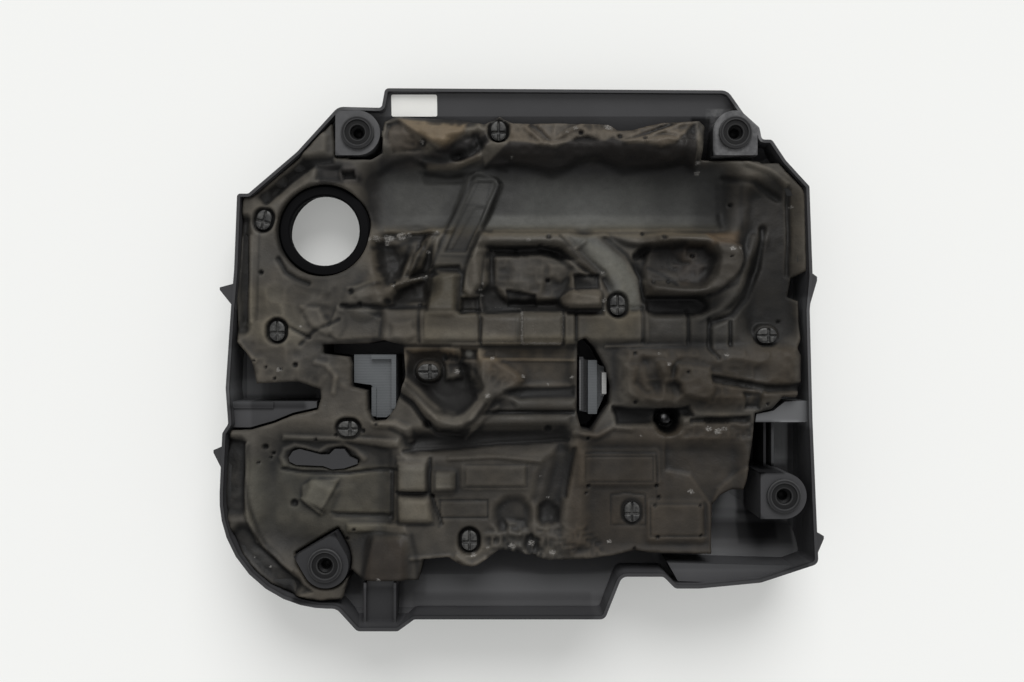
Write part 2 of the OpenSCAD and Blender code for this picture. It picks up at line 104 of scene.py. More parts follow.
class Finish:
    def __init__(self, name):
        self.material = bpy.data.materials.new(name)
        self.material.use_nodes = True
        self.tree = self.material.node_tree
        self.tree.nodes.clear()
        self.place = self.node("ShaderNodeTexCoord", {}, {}, "Object")

    def node(self, kind, settings, sockets, out=0):
        made = self.tree.nodes.new(kind)
        for key, value in settings.items():
            setattr(made, key, value)
        for key, value in sockets.items():
            socket = made.inputs[key]
            if isinstance(value, Wire):
                self.tree.links.new(value.socket, socket)
            elif isinstance(value, tuple) and len(value) == 3 and socket.type == "RGBA":
                socket.default_value = (*value, 1)
            else:
                socket.default_value = value
        return Wire(self, made.outputs[out]) if made.outputs else None

    def noise(self, scale, detail=3.0, rough=0.5, stretch=(1, 1, 1)):
        place = self.node("ShaderNodeMapping", {}, {"Vector": self.place, "Scale": stretch})
        sockets = {"Vector": place, "Scale": scale, "Detail": detail, "Roughness": rough}
        return self.node("ShaderNodeTexNoise", {}, sockets)

    def mix(self, share, a, b, how="MIX"):
        settings = {"data_type": "RGBA", "blend_type": how}
        return self.node("ShaderNodeMix", settings, {0: share, 6: a, 7: b}, 2)

    def nearest(self, places):    # distance to the nearest of some upright lines
        flat = self.node("ShaderNodeVectorMath", {"operation": "MULTIPLY"}, {0: self.place, 1: (1, 1, 0)})
        best = 9.0
        for x, y in places:
            sockets = {0: flat, 1: (x * mm, y * mm, 0)}
            away = self.node("ShaderNodeVectorMath", {"operation": "DISTANCE"}, sockets, "Value")
            best = away.calc("MINIMUM", away, best)
        return best

    def box(self, x0, x1, y0, y1, fade):    # 1 inside an upright box, softly 0 outside
        share = 1.0
        for axis, low, high in ((0, x0, x1), (1, y0, y1)):
            part = self.node("ShaderNodeSeparateXYZ", {}, {0: self.place}, axis)
            rise = part.above((low - fade) * mm, low * mm)
            share = rise * (1 - part.above(high * mm, (high + fade) * mm)) * share
        return share

    def attribute(self, name, out="Fac"):
        return self.node("ShaderNodeAttribute", {"attribute_name": name}, {}, out)

    def bump(self, height, strength, distance):
        sockets = {"Height": height, "Strength": strength, "Distance": distance}
        return self.node("ShaderNodeBump", {}, sockets)

    def surface(self, sockets):
        shader = self.node("ShaderNodeBsdfPrincipled", {}, sockets)
        self.node("ShaderNodeOutputMaterial", {}, {"Surface": shader})
        return self.material


# Camera, light and floor

cameraSet = {"height": 960, "x": -4.85, "y": 11.05, "focalPixels": 1017, "imageWidth": 1024, "sensor": 36}
lightSet = {"sunStrength": 2.3, "sunAngle": 40, "sunTilt": (-50, 8, 0), "world": 0.56}
floorPaint = {"base": (0.88, 0.885, 0.87), "seen": (0.9, 0.91, 0.885), "glow": 0.24, "reach": 6}


def makeCamera():
    camera = bpy.data.cameras.new("camera")
    camera.sensor_width = cameraSet["sensor"]
    camera.lens = cameraSet["focalPixels"] / cameraSet["imageWidth"] * cameraSet["sensor"]
    camera.clip_end = 20
    holder = bpy.data.objects.new("camera", camera)
    holder.location = (cameraSet["x"] * mm, cameraSet["y"] * mm, cameraSet["height"] * mm)
    bpy.context.scene.collection.objects.link(holder)
    bpy.context.scene.camera = holder


def makeLight():
    lamp = bpy.data.lights.new("softSun", "SUN")
    lamp.energy = lightSet["sunStrength"]
    lamp.angle = math.radians(lightSet["sunAngle"])
    holder = bpy.data.objects.new("softSun", lamp)
    holder.rotation_euler = [math.radians(v) for v in lightSet["sunTilt"]]
    bpy.context.scene.collection.objects.link(holder)
    world = bpy.data.worlds.new("room")
    bpy.context.scene.world = world
    world.use_nodes = True
    world.node_tree.nodes["Background"].inputs["Color"].default_value = (1, 1, 1, 1)
    world.node_tree.nodes["Background"].inputs["Strength"].default_value = lightSet["world"]


def makeFloor():
    mesh = bpy.data.meshes.new("floor")
    reach = floorPaint["reach"]
    corners = [(x, y, 0) for x, y in rect(-reach, -reach, reach, reach)]
    mesh.from_pydata(corners, [], [(0, 1, 2, 3)])
    floor = bpy.data.objects.new("floor", mesh)
    bpy.context.scene.collection.objects.link(floor)
    finish = Finish("paleFloor")
    matt = {"Base Color": floorPaint["base"], "Roughness": 0.9, "Specular IOR Level": 0.1}
    shader = finish.node("ShaderNodeBsdfPrincipled", {}, matt)
    glow = finish.node("ShaderNodeEmission", {}, {"Color": floorPaint["seen"]})
    seen = finish.node("ShaderNodeLightPath", {}, {}, "Is Camera Ray")
    both = finish.node("ShaderNodeMixShader", {}, {0: seen * floorPaint["glow"], 1: shader, 2: glow})
    finish.node("ShaderNodeOutputMaterial", {}, {"Surface": both})
    mesh.materials.append(finish.material)


def addPiece(name, verts, faces, material, smoothFaces=True):
    mesh = bpy.data.meshes.new(name)
    points = [tuple(v) for v in np.asarray(verts) * mm]
    mesh.from_pydata(points, [], [tuple(int(k) for k in f) for f in faces])
    mesh.validate()
    mesh.materials.append(material)
    if smoothFaces:
        mesh.shade_smooth()
    piece = bpy.data.objects.new(name, mesh)
    bpy.context.scene.collection.objects.link(piece)
    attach(piece, "root")
    return piece


# Finishes

def foamFinish():
    finish = Finish("foamSkin")
    paint = finish.attribute("paint", "Color")
    sheen = finish.attribute("sheen")
    grain = finish.noise(900, 3, 0.6)
    cloud = finish.noise(38, 4, 0.6)
    pores = finish.node("ShaderNodeTexVoronoi", {}, {"Vector": finish.place, "Scale": 260})
    pore = 1 - pores.above(0.03, 0.12)
    tone = 0.8 + 0.4 * grain
    tone = tone * (0.82 + 0.36 * cloud)
    blotch = finish.noise(150, 4, 0.7)
    tone = tone * (0.72 + 0.56 * blotch)
    grey = finish.node("ShaderNodeCombineColor", {}, {0: tone, 1: tone, 2: tone})
    colour = finish.mix(1.0, paint, grey, "MULTIPLY")
    colour = finish.mix(pore * 0.35, colour, (0.008, 0.007, 0.007))
    chip = finish.attribute("chip")
    flake = finish.noise(560, 5, 0.8, (1, 1.5, 1))
    bare = ((flake + 0.36 * chip - 0.78) * 6).clamped() * chip.above(0.02, 0.2)
    colour = finish.mix(bare * 0.75, colour, (0.26, 0.25, 0.235))
    rough = (0.78 - 0.3 * sheen + 0.1 * grain).clamped()
    height = grain * 0.5 + cloud * 0.6 + blotch * 2.2 - pore
    normal = finish.bump(height, 0.5, 0.0005)
    skin = {"Base Color": colour, "Roughness": rough, "Normal": normal, "Specular IOR Level": 0.3}
    return finish.surface(skin)


# Parts of the shell painted paler, as painted light: lit bands on ledges and floors, and lightened shade in
# deep corners: x and y range, strength
shellPaintedLight = [
    (208, 254, -62, -38, 0.36), (250, 256, -34, 48, 0.3), (228, 246, -100, -62, 0.8),
    (166, 202, -150, -128, 0.5), (-80, 82, -214, -200, 0.12), (126, 250, -186, -180, 0.12),
    (-252, -222, -34, 2, 0.22), (-252, -190, -42, -27, 0.3),
]
# Parts of the shell mixed toward a dull black: painted shade in gaps, recesses and deep corners, and darker
# front bosses and front skirt: x and y range, strength
shellShadeAndDark = [
    (130, 250, -186, -158, 0.35), (180, 236, -168, -146, 0.2), (-192, -142, -214, -152, 0.5),
    (-250, -190, -47, -41, 0.4), (160, 174, 160, 212, 0.8), (-234, -188, -62, -28, 0.25),
    (-136, -104, -232, -206, 0.4), (204, 250, -172, -148, 0.3), (-92, 64, -230, -216, 0.2),
    (206, 252, -147, -100, 0.3), (210, 230, -102, -62, 0.75), (-208, -136, -110, -78, 0.35),
]
bossDust = {"rearRight": 0.5, "frontRight": 0.04, "rearLeft": 0.12}
bossReach = 23


def shellFinish():
    finish = Finish("shellPlastic")
    grain = finish.noise(1400, 2, 0.5)
    cloud = finish.noise(14, 4, 0.6)
    scuff = finish.noise(60, 6, 0.75, (1, 6, 1)).above(0.62, 0.75)
    colour = finish.mix(cloud, (0.03, 0.03, 0.032), (0.055, 0.055, 0.058))
    colour = finish.mix(scuff * 0.22, colour, (0.11, 0.11, 0.115))
    for name, dust in bossDust.items():
        bx, by, _ = bosses[name]
        nearBoss = finish.box(bx - bossReach, bx + bossReach, by - bossReach, by + bossReach, 2)
        chalk = finish.noise(90, 5, 0.7).above(0.3, 0.7) * dust * nearBoss
        colour = finish.mix(chalk, colour, (0.2, 0.2, 0.2))
    # Painted light: lit bands and lightened shade on the shell
    for x0, x1, y0, y1, pale in shellPaintedLight:
        colour = finish.mix(finish.box(x0, x1, y0, y1, 5) * pale, colour, (0.2, 0.205, 0.21))
    rough = 0.42 + 0.16 * cloud + 0.08 * grain
    normal = finish.bump(grain, 0.2, 0.0002)
    fresh = {"Base Color": colour, "Roughness": rough, "Normal": normal}
    satin = finish.node("ShaderNodeBsdfPrincipled", {}, fresh)
    black = {"Base Color": (0.004, 0.004, 0.0045), "Specular IOR Level": 0.05}
    dull = finish.node("ShaderNodeBsdfPrincipled", {}, black)
    # Painted shade: the filler collar and its neck, mixed fully to dull black
    darkness = 1 - finish.nearest([(filler["x"], filler["y"])]).above(43 * mm, 45 * mm)
    # Painted shade in the gaps, recesses and deep corners of the shell, mixed toward dull black
    for x0, x1, y0, y1, share in shellShadeAndDark:
        darkness = darkness + finish.box(x0, x1, y0, y1, 4) * share
    slant = (rimZ(rear) - rimZ(front)) / cover["length"]
    sockets = {0: finish.place, 1: (0, -slant, 1)}
    up = finish.node("ShaderNodeVectorMath", {"operation": "DOT_PRODUCT"}, sockets, "Value")
    offBosses = finish.nearest([(bx, by) for bx, by, _ in bosses.values()]).above(24 * mm, 27 * mm)
    rimward = (up - rimZ(0) * mm).above(-7 * mm, -1 * mm) * offBosses
    darkness = darkness + rimward * 0.35
    both = finish.node("ShaderNodeMixShader", {}, {0: darkness.clamped(), 1: satin, 2: dull})
    finish.node("ShaderNodeOutputMaterial", {}, {"Surface": both})
    return finish.material


# Places on the slim insert: x and y range with fade, strength, colour
insertAreas = [
    # Painted shade in the dark gap beside the insert
    ((53, 62.6, -52, -2, 0.4), 0.9, (0.008, 0.008, 0.009)),
    ((54, 56.2, -50, -6, 0.3), 0.4, (0.2, 0.2, 0.2)),
    # Painted light: a pale strip where the lit table shows through the slot
    ((75.2, 80, -38, -16, 0.4), 0.9, (0.3, 0.3, 0.29)),
]


def insertFinish():
    finish = Finish("insertPlastic")
    sockets = {"Vector": finish.place, "Scale": 130}
    lines = finish.node("ShaderNodeTexWave", {"bands_direction": "Y"}, sockets)
    cloud = finish.noise(40, 3, 0.6)
    colour = finish.mix(cloud, (0.066, 0.072, 0.077), (0.1, 0.106, 0.111))
    colour = finish.mix(lines * 0.22, colour, (0.06, 0.066, 0.07))
    for area, share, tone in insertAreas:
        colour = finish.mix(finish.box(*area) * share, colour, tone)
    normal = finish.bump(lines, 0.3, 0.0002)
    return finish.surface({"Base Color": colour, "Roughness": 0.45, "Normal": normal})


grommetEdgeHighlights = ((14.3, 0.35), (11.7, 0.3), (7.2, 0.25))    # painted highlights on the ring edges: radius, strength


def rubberFinish():
    finish = Finish("grommetRubber")
    cloud = finish.noise(120, 4, 0.6)
    dust = finish.noise(500, 3, 0.7).above(0.6, 0.8)
    colour = finish.mix(cloud, (0.01, 0.01, 0.0105), (0.022, 0.022, 0.023))
    colour = finish.mix(dust * 0.15, colour, (0.1, 0.1, 0.1))
    away = finish.nearest([(bx, by) for bx, by, _ in bosses.values()])
    # Painted shade: the recess and hole inside each grommet are darkened
    inner = 1 - away.above(10.6 * mm, 11.4 * mm)
    colour = finish.mix(inner * 0.6, colour, (0.004, 0.004, 0.004))
    # Painted highlights: thin pale circles where the ring edges catch the light
    for radius, share in grommetEdgeHighlights:
        off = away.calc("ABSOLUTE", away - radius * mm)
        colour = finish.mix((1 - off.above(0.2 * mm, 0.7 * mm)) * share, colour, (0.1, 0.1, 0.1))
    normal = finish.bump(cloud, 0.15, 0.0003)
    rough = 0.4 + 0.2 * cloud
    rubber = {"Base Color": colour, "Roughness": rough, "Normal": normal, "Specular IOR Level": 0.16}
    return finish.surface(rubber)


def clipFinish():
    finish = Finish("clipPlastic")
    cloud = finish.noise(220, 4, 0.65)
    colour = finish.mix(cloud.above(0.35, 0.7), (0.011, 0.011, 0.011), (0.065, 0.064, 0.06))
    normal = finish.bump(cloud, 0.25, 0.0003)
    return finish.surface({"Base Color": colour, "Roughness": 0.5, "Normal": normal})


def labelFinish():
    finish = Finish("bareLabel")
    cloud = finish.noise(60, 4, 0.6)
    speck = finish.noise(700, 4, 0.8).above(0.66, 0.8)
    colour = finish.mix(cloud, (0.93, 0.93, 0.89), (0.98, 0.98, 0.94))
    colour = finish.mix(speck * 0.4, colour, (0.3, 0.3, 0.28))
    return finish.surface({"Base Color": colour, "Roughness": 0.5})


# Foam pad: a fine relief over the pad's outline

# Corners of the rim, clockwise from the rear
rimOutline = [
    (left + 143, rear), (right - 73, rear - 2), (right - 59, rear - 23), (right - 45, rear - 36),
    (right - 43, rear - 47), (right - 34, rear - 47), (right - 22, rear - 66), (right, rear - 91),
    (right, rear - 165), (right - 4, rear - 200), (right - 4, front + 180), (right - 2, front + 57),
    (right - 52, front + 41), (right - 105, front + 36), (right - 126, front + 36),
    (right - 136, front + 46), (right - 172, front + 46), (right - 187, front + 10),
    (left + 173, front + 10), (left + 159, front), (left + 124, front), (left + 106, front + 19),
    *reversed(arcPoints(left + 97, front + 116, 96, 180, 269, 12)),
    (left + 4, front + 169), (left + 9, front + 177), (left + 6, front + 208), (left + 9, rear - 198),
    (left + 11, rear - 164), (left + 12, rear - 96), (left + 22, rear - 96), (left + 65, rear - 58),
    (left + 101, rear - 17), (left + 140, rear - 18),
]
padOutline = [
    (left + 16, rear - 98), (left + 24, rear - 98), (left + 66, rear - 62.5), (left + 95, rear - 30),
    (left + 99, rear - 62), (left + 114, rear - 64), (left + 130, rear - 64), (left + 141, rear - 58),
    (left + 142, rear - 30), (left + 152, rear - 25), (left + 206, rear - 28), (left + 232, rear - 32),
    (left + 246, rear - 25), (left + 258, rear - 32), (left + 318, rear - 32), (left + 344, rear - 33),
    (left + 352, rear - 39), (left + 364, rear - 39), (left + 378, rear - 35), (left + 394, rear - 31),
    (right - 98, rear - 29), (right - 93, rear - 34), (right - 96, rear - 64), (right - 45, rear - 66),
    (right - 42, rear - 68), (right - 27, rear - 67.5), (right - 5.5, rear - 91), (right - 4, rear - 96),
    (right - 4, rear - 165), (right - 16, rear - 171), (right - 19, rear - 188),
    (right - 11, rear - 192), (right - 11, rear - 226), (right - 14, rear - 234),
    (right - 11, rear - 240), (right - 12, front + 212), (right - 17, front + 200),
    (right - 30, front + 201), (right - 38, front + 190), (right - 53, front + 186),
    (right - 56, front + 158), (right - 61, front + 128), (right - 64, front + 119),
    (right - 74, front + 119), (right - 84, front + 114), (right - 91, front + 106),
    (right - 93, front + 64), (right - 147, front + 65), (right - 160, front + 67),
    (right - 178, front + 63), (right - 200, front + 60), (right - 235, front + 59),
    (left + 262, front + 66), (left + 246, front + 68), (left + 238, front + 62),
    (left + 226, front + 54), (left + 214, front + 54), (left + 202, front + 62),
    (left + 180, front + 60), (left + 176, front + 42), (left + 128, front + 42),
    (left + 117, front + 52), (left + 110, front + 26),
    *reversed(arcPoints(left + 97, front + 116, 92, 180, 266, 12)),
    (left + 5.5, front + 150), (left + 10, front + 171), (left + 26, front + 171),
    (left + 47, front + 177), (left + 64, front + 184), (left + 86, front + 189),
    (left + 89, front + 200), (left + 88, front + 207), (left + 68, front + 214),
    (left + 32, front + 212), (left + 27, front + 232), (left + 22, front + 240),
    (left + 14, front + 248), (left + 12, rear - 190),
]
padHoles = {
    "window": [(-172, 8), (-133, 9), (-118, 12), (-101, 7), (-99, -24), (-108, -48), (-116, -59), (-127, -60),
               (-132, -50), (-133, -33), (-146.5, -29.5), (-147, -18), (-146.4, -10), (-149, -3), (-172, 0)],
    "slot": [(60, 14), (53, 11), (52, -52), (56, -66), (65, -68), (81, -44), (82, -29), (78, -12), (68, 6)],
    "kidney": [(-203, -92), (-199, -86), (-193, -84), (-174, -89), (-167, -89), (-162, -84), (-153, -84),
               (-148, -91), (-141, -94), (-141, -98), (-153, -102), (-164, -103), (-172, -100), (-196, -99),
               (-202, -96)],
}
bosses = {
    "rearLeft": (left + 119, rear - 41, 180),
    "rearRight": (right - 67, rear - 41, 270),
    "frontRight": (right - 31, front + 115, 180),
    "frontLeft": (left + 96, front + 56, 120),
}
bossWidth = 40
filler = {"x": left + 88, "y": rear - 128, "collar": 82, "opening": 63}
clips = [
    (-17, rear - 38, 0), (left + 35, rear - 119, -15), (left + 49, 20, 0), (89, 43, 0), (right - 41, 16, 90),
    (-79, -16, 90), (-149, -66, 90), (100, -138, 0), (-42, front + 76, 0),
]
clipSet = {"width": 13, "length": 17.5, "thick": 4, "sunk": 1.5, "well": 20, "pitch": 0.42, "crown": 0.9,
           "crownEdge": 2.2, "slitDepth": 2.2, "lip": 0.7, "shank": 0.45, "shankEnd": 17}
padSet = {"pitch": 1.38, "drop": 3, "edgeRound": 2.6, "aroundBosses": 1.5, "aroundFiller": 0.8,
          "overFloor": 1.2, "underRim": 9, "lean": 3.2, "leanWidth": 24, "skirtDrops": (3, 9),
          "bottomPitch": 14, "holeDepth": 3.5}
skinColours = {"dark": (0.009, 0.0088, 0.0086), "mid": (0.069, 0.064, 0.055), "warm": (1.09, 1.0, 0.88)}

# Soft rounded boxes: x, y, half width, half length, turn, corner radius, width of the slope, height
padForms = [
    # long trough, its raised arm and the strip below the arm
    (28, rear - 98, 167, 29, 0, 22, 30, -22),
    (-37, 140, 14, 23, -22, 11, 10, 14),
    (-55, 96, 14, 25, -22, 8, 10, 4),
    (-67, 56, 13, 20, -2, 6, 10, 6),
    # ridge along the rear edge, with its valley
    (20, 190, 145, 10, -1, 8, 12, 5),
    (-75, 194, 36, 9, -12, 5, 14, 6),
    (-46, 187, 15, 9, 20, 6, 10, -9),
    (115, 186, 40, 9, 0, 6, 16, 5),
    # row of blocks across the middle
    (-3, 24, 116, 14, 0, 5, 10, 5),
    (22, 24, 19, 13, 0, 3, 9, 4),
    (150, 24, 42, 12, 0, 5, 12, 3),
    # crumpled pockets left of the arm
    (-98, 78, 24, 34, 10, 14, 14, -13),
    (-104, 66, 5, 30, -35, 4, 12, 9),
    (-130, 52, 20, 12, 40, 8, 14, 7),
    # recess and ridges in the middle
    (4, 66, 38, 30, 0, 12, 14, -14),
    (-34, 84, 7, 26, 8, 6, 12, 9),
    (20, 103, 60, 5, 0, 4, 8, 4),
    (56, 48, 18, 7, 0, 4, 6, 8),
    (80, 76, 9, 42, 36, 9, 16, -11),
    # ear-shaped ring on the right
    (156, 78, 46, 30, -8, 26, 16, 9),
    (121, 80, 16, 13, 8, 10, 10, -16),
    (151, 78, 20, 16, -12, 12, 16, -9),
    (142, 42, 24, 7, 0, 6, 12, -12),
    # hollow along the right edge
    (right - 36, 82, 24, 70, 0, 20, 24, -13),
    (200, 70, 5, 42, -30, 5, 14, 5),
    # rough raised region and its ear
    (168, -20, 78, 24, 0, 10, 14, 7),
    (122, -26, 12, 18, 20, 8, 10, 6),
    # winding lip and the valley below it
    (-54, -60, 20, 6, 0, 6, 10, 7),
    (-87, -40, 6, 24, 47, 6, 10, 7),
    (-34, -48, 6, 14, -37, 6, 10, 7),
    (-14, -22, 18, 16, -30, 10, 12, 4),
    (-26, -76, 72, 8, 2, 8, 16, -12),
    (-68, -24, 28, 22, 0, 16, 16, -9),
    # basin at the lower left, its pads and its groove
    (-168, -124, 60, 52, 0, 30, 30, -12),
    (-174, -125, 12, 11, -24, 4, 8, 3),
    (-248, -108, 9, 34, 0, 6, 8, -5),
    (-220, -180, 9, 38, 47, 6, 8, -5),
    (-92, -108, 13, 12, 0, 4, 8, 7),
    (-90, -136, 14, 10, 0, 3, 8, 6),
    (-66, -112, 10, 9, 0, 3, 8, 5),
    (-114, -179, 17, 20, 0, 8, 10, 6),
    # flat field at the lower right and its frames
    (128, -126, 68, 46, 0, 8, 14, -5),
    (89, -100, 35, 15, 0, 3, 8, 3),
    (138, -147, 24, 17, 0, 3, 8, 3),
    (-20, -107, 28, 10, 0, 3, 8, 3),
    # blade and dents near the front edge
    (34, -116, 8, 34, -14, 6, 10, -4),
    (-4, -140, 15, 15, 0, 14, 10, -7),
    (26, -140, 9, 9, 0, 8, 8, -5),
    (132.5, -60, 10, 10, 0, 9, 8, -17),
    # flat stretch and ridge at the left edge
    (left + 18, 70, 5, 52, 0, 4, 10, -7),
    (-209, 153, 7, 27, -52, 6, 12, -6),
]


# Outlines that both the relief and the colours use
leftFacet = [(-106, 210), (-46, 206), (-48, 197), (-65, 183), (-80, 190), (-96, 199)]
endFacet = [(-117, 206), (-108, 209), (-80, 183), (-87, 182), (-112, 180), (-119, 193)]
ridgeDip = [(-46, 195), (-28, 200), (-27, 188), (-37, 176), (-64, 177), (-74, 181), (-65, 183)]
troughLip = [(-88, 174), (-80, 165), (-55, 166), (-33, 176), (-36, 180), (-48, 174), (-69, 172)]
lightFolds = [
    (-7, 207), (160, 208), (148, 195), (139, 186), (127, 183), (109, 186), (98, 185), (84, 192),
    (77, 188), (63, 194), (54, 193), (43, 187), (34, 183), (18, 185), (9, 188), (-7, 189),
]
deepHole = [(122, -49), (143, -49), (143, -60), (139, -68), (133, -70.5), (127, -68), (122, -60)]
smallPocket = [(50, 70), (72, 70), (73, 58), (52, 57)]

# Finer relief, in millimetres. Plateaus: height, width of the slope, outline
plateaus = [
    # rear ridge: left facets, valley, lip, then the light folds, the dark face and the step under it
    (3, 5, leftFacet),
    (-3, 4, endFacet),
    (-2.5, 5, ridgeDip),
    (4, 4, troughLip),
    (-4, 6, [(-88, 164), (-64, 164), (-50, 163), (-50, 156), (-84, 155)]),
    (-3, 5, [(-26, 188), (-8, 188), (-6, 172), (-30, 170)]),
    (3.5, 4, lightFolds),
    (5, 4, [(-30, 188), (-7, 189), (9, 188), (160, 190), (160, 168), (150, 172), (134, 169), (109, 168),
            (91, 169), (77, 175), (63, 175), (48, 169), (31, 165), (9, 170), (-8, 171), (-30, 169)]),
    # corner by the filler: hollow strip, pocket and hole
    (-5, 7, [(-226, 133), (-206, 152), (-188, 166), (-166, 171), (-166, 176), (-192, 174), (-214, 156),
             (-230, 140)]),
    (3, 6, [(-202, 183), (-176, 200), (-171, 196), (-172, 180), (-190, 176)]),
    (-4, 4, [(-181, 168), (-160, 167), (-159, 155), (-181, 156)]),
    (-7, 3, [(-158, 163), (-147, 164), (-146, 157), (-156, 156)]),
    # the arm: the panel sunk into it, a step and a dip
    (-1.6, 2, [(-38, 156), (-21, 156), (-20, 152), (-46, 90), (-65, 90), (-41, 153)]),
    (-1, 2, [(-38, 132), (-28, 132), (-46, 91), (-60, 91)]),
    (-5, 5, [(-77, 77), (-52, 78), (-50, 71), (-76, 69)]),
    (2, 4, [(-79, 68), (-56, 69), (-55, 38), (-81, 38)]),
    (-7, 4, [(-49, 49), (-35, 50), (-33, 36), (-50, 35)]),
    # pocket cluster left of the arm
    (-5, 10, [(-128, 100), (-112, 98), (-100, 86), (-102, 68), (-116, 62), (-126, 72)]),
    (6, 5, [(-82, 106), (-75, 106), (-86, 76), (-96, 72), (-92, 88)]),
    (4, 5, [(-112, 62), (-88, 70), (-84, 66), (-106, 57)]),
    (-4, 8, [(-108, 58), (-84, 64), (-82, 46), (-108, 46)]),
    (4, 7, [(-150, 58), (-124, 64), (-116, 52), (-140, 46)]),
    # between the arm and the channel
    (4, 4, [(-46, 78), (-36, 92), (-30, 92), (-34, 60), (-42, 50), (-48, 56)]),
    (3, 3, [(-30, 94), (-24, 94), (-26, 62), (-31, 56)]),
    (-5, 5, [(-22, 95), (22, 98), (40, 94), (52, 84), (40, 84), (20, 88), (-20, 87)]),
    (2, 9, [(-4, 78), (10, 82), (24, 76), (22, 60), (6, 56), (-6, 64)]),
    (3, 6, [(28, 80), (46, 80), (52, 70), (38, 64), (28, 68)]),
    (-4, 2.5, [(-10, 57), (16, 52), (17, 42), (-8, 42)]),
    (-5, 2.5, smallPocket),
    (6, 3, [(38, 50), (50, 56), (56, 52), (73, 51), (73, 41), (46, 41), (38, 45)]),
    (-4, 4, [(42, 39), (76, 39), (76, 34), (44, 34)]),
    # smooth curved channel
    (2.5, 9, [(46, 104), (58, 104), (80, 88), (94, 70), (98, 40), (88, 40), (84, 60), (70, 80)]),
    (-5, 6, [(84, 104), (98, 98), (118, 96), (114, 86), (104, 84), (92, 94)]),
    # ear-shaped ring with its pocket
    (5, 5, [(126, 104), (168, 105), (180, 99), (200, 96), (200, 80), (188, 66), (174, 53), (160, 50),
            (118, 50), (112, 70), (116, 88)]),
    (-4, 9, [(110, 92), (134, 95), (152, 80), (142, 72), (124, 74), (112, 80)]),
    (4, 4, [(174, 99), (187, 100), (200, 90), (196, 72), (180, 58), (150, 51), (118, 54), (118, 61),
            (146, 57), (164, 58), (177, 83)]),
    # row of blocks
    (1.8, 2.5, rect(-82, 37, -35, 11)),
    (1.5, 2.5, rect(-31, 34, -1, 11)),
    (1.8, 2, rect(4, 37, 39, 8)),
    (1.5, 3, rect(42, 38, 50, 9)),
    (2, 3, rect(113, 37, 149, 9)),
    (1.8, 3, [(172, 28), (186, 29), (186, 6), (172, 5)]),
    (2.5, 5, [(-110, 26), (-94, 28), (-90, 16), (-98, 11), (-110, 14)]),
    (2, 3, [(-160, 42), (-140, 38), (-121, 31), (-123, 14), (-158, 12), (-168, 18)]),
    (3, 5, [(-192, 42), (-176, 40), (-164, 20), (-168, 16), (-182, 24)]),
    # brown slope and the long ribs under it
    (-5, 14, [(-30, 6), (50, 6), (50, -30), (-20, -30)]),
    (-5, 6, [(-8, -31), (50, -30), (50, -38), (4, -39), (-14, -36)]),
    (3, 5, [(-4, -41), (50, -41), (50, -48), (0, -48)]),
    (-3, 3, rect(-28, -50, 50, -53)),
    (3, 5, [(-30, -55), (46, -55), (44, -62), (-34, -62)]),
    # basin round the second clip and the lip along it
    (-8, 10, [(-98, 2), (-70, 4), (-52, -4), (-40, -24), (-36, -40), (-52, -52), (-68, -46), (-84, -30),
              (-98, -20)]),
    (5, 6, [(-66, -6), (-52, -6), (-50, -22), (-64, -24)]),
    (5, 7, [(-34, -4), (-22, -4), (-2, -16), (4, -24), (-10, -36), (-24, -42), (-30, -36), (-34, -20)]),
    (-6, 4, [(-50, 4), (-36, 3), (-36, -5), (-50, -6)]),
    # rough raised field on the right
    (-5, 12, [(110, -4), (122, -8), (126, -20), (140, -28), (138, -36), (118, -32), (108, -18)]),
    (4, 6, [(94, -10), (104, -12), (102, -26), (112, -36), (138, -41), (140, -46), (108, -45), (94, -34)]),
    (4, 6, [(140, -10), (168, -12), (172, -28), (168, -42), (146, -36), (138, -22)]),
    (3, 6, [(122, -6), (136, -8), (134, -18), (124, -18)]),
    (-9, 6, [(84, -47), (116, -49), (150, -47), (154, -54), (120, -62), (88, -62)]),
    (-5, 4, [(170, -19), (200, -24), (222, -28), (250, -26), (250, -33), (220, -34), (196, -30),
             (170, -25)]),
    (-5, 5, [(198, -34), (214, -34), (212, -48), (200, -48)]),
    (-5, 4, [(152, -57), (204, -55), (204, -61), (152, -61)]),
    (-3, 5, rect(166, -57, 186, -62)),
    # lower left: notch lip, kidney lip, trapezoid, ribs
    (-3, 3, [(-258, -74), (-239, -78), (-239, -140), (-229, -166), (-206, -186), (-178, -206), (-206, -214),
             (-240, -190), (-264, -130)]),
    (3, 4, [(-207, -76), (-150, -78), (-120, -83), (-104, -82), (-104, -76), (-148, -74), (-206, -72)]),
    (2, 3, [(-190, -117), (-182, -112), (-158, -111), (-171, -139), (-190, -127)]),
    (-2.5, 4, [(-164, -140), (-110, -141), (-110, -146), (-160, -144)]),
    (2.5, 4, [(-150, -150), (-98, -149), (-96, -156), (-150, -157)]),
    # light pads and their neighbours
    (1, 2, rect(-105, -100, -80, -120)),
    (1.5, 2.5, rect(-106, -90, -78, -98)),
    (1, 2, [(-105, -126), (-80, -126), (-73, -146), (-101, -146), (-105, -141)]),
    (1, 2, rect(-72, -103, -54, -118)),
    # dark blade with the light wedge beside it
    (-3, 8, [(37, -80), (49, -84), (43, -112), (38, -150), (30, -148), (12, -128), (17, -106), (26, -92)]),
    (2, 6, [(22, -132), (34, -132), (34, -150), (24, -152)]),
    (2, 9, [(-18, -128), (-5, -124), (7, -129), (8, -144), (-4, -150), (-18, -146)]),
    (3, 4, [(-10, -146), (4, -148), (3, -158), (-8, -158)]),
    (-4, 5, [(7, -160), (12, -157), (19, -161), (18, -171), (12, -177), (6, -169)]),
    # right-hand field: shallow step and the deep hole
    (-6, 3, deepHole),
    (12, 2.5, arcPoints(132, -58, 5, 0, 360, 16)),
    (-2, 4, [(130, -62), (206, -62), (206, -98), (196, -102), (176, -118), (170, -132), (152, -106),
             (130, -102)]),
]

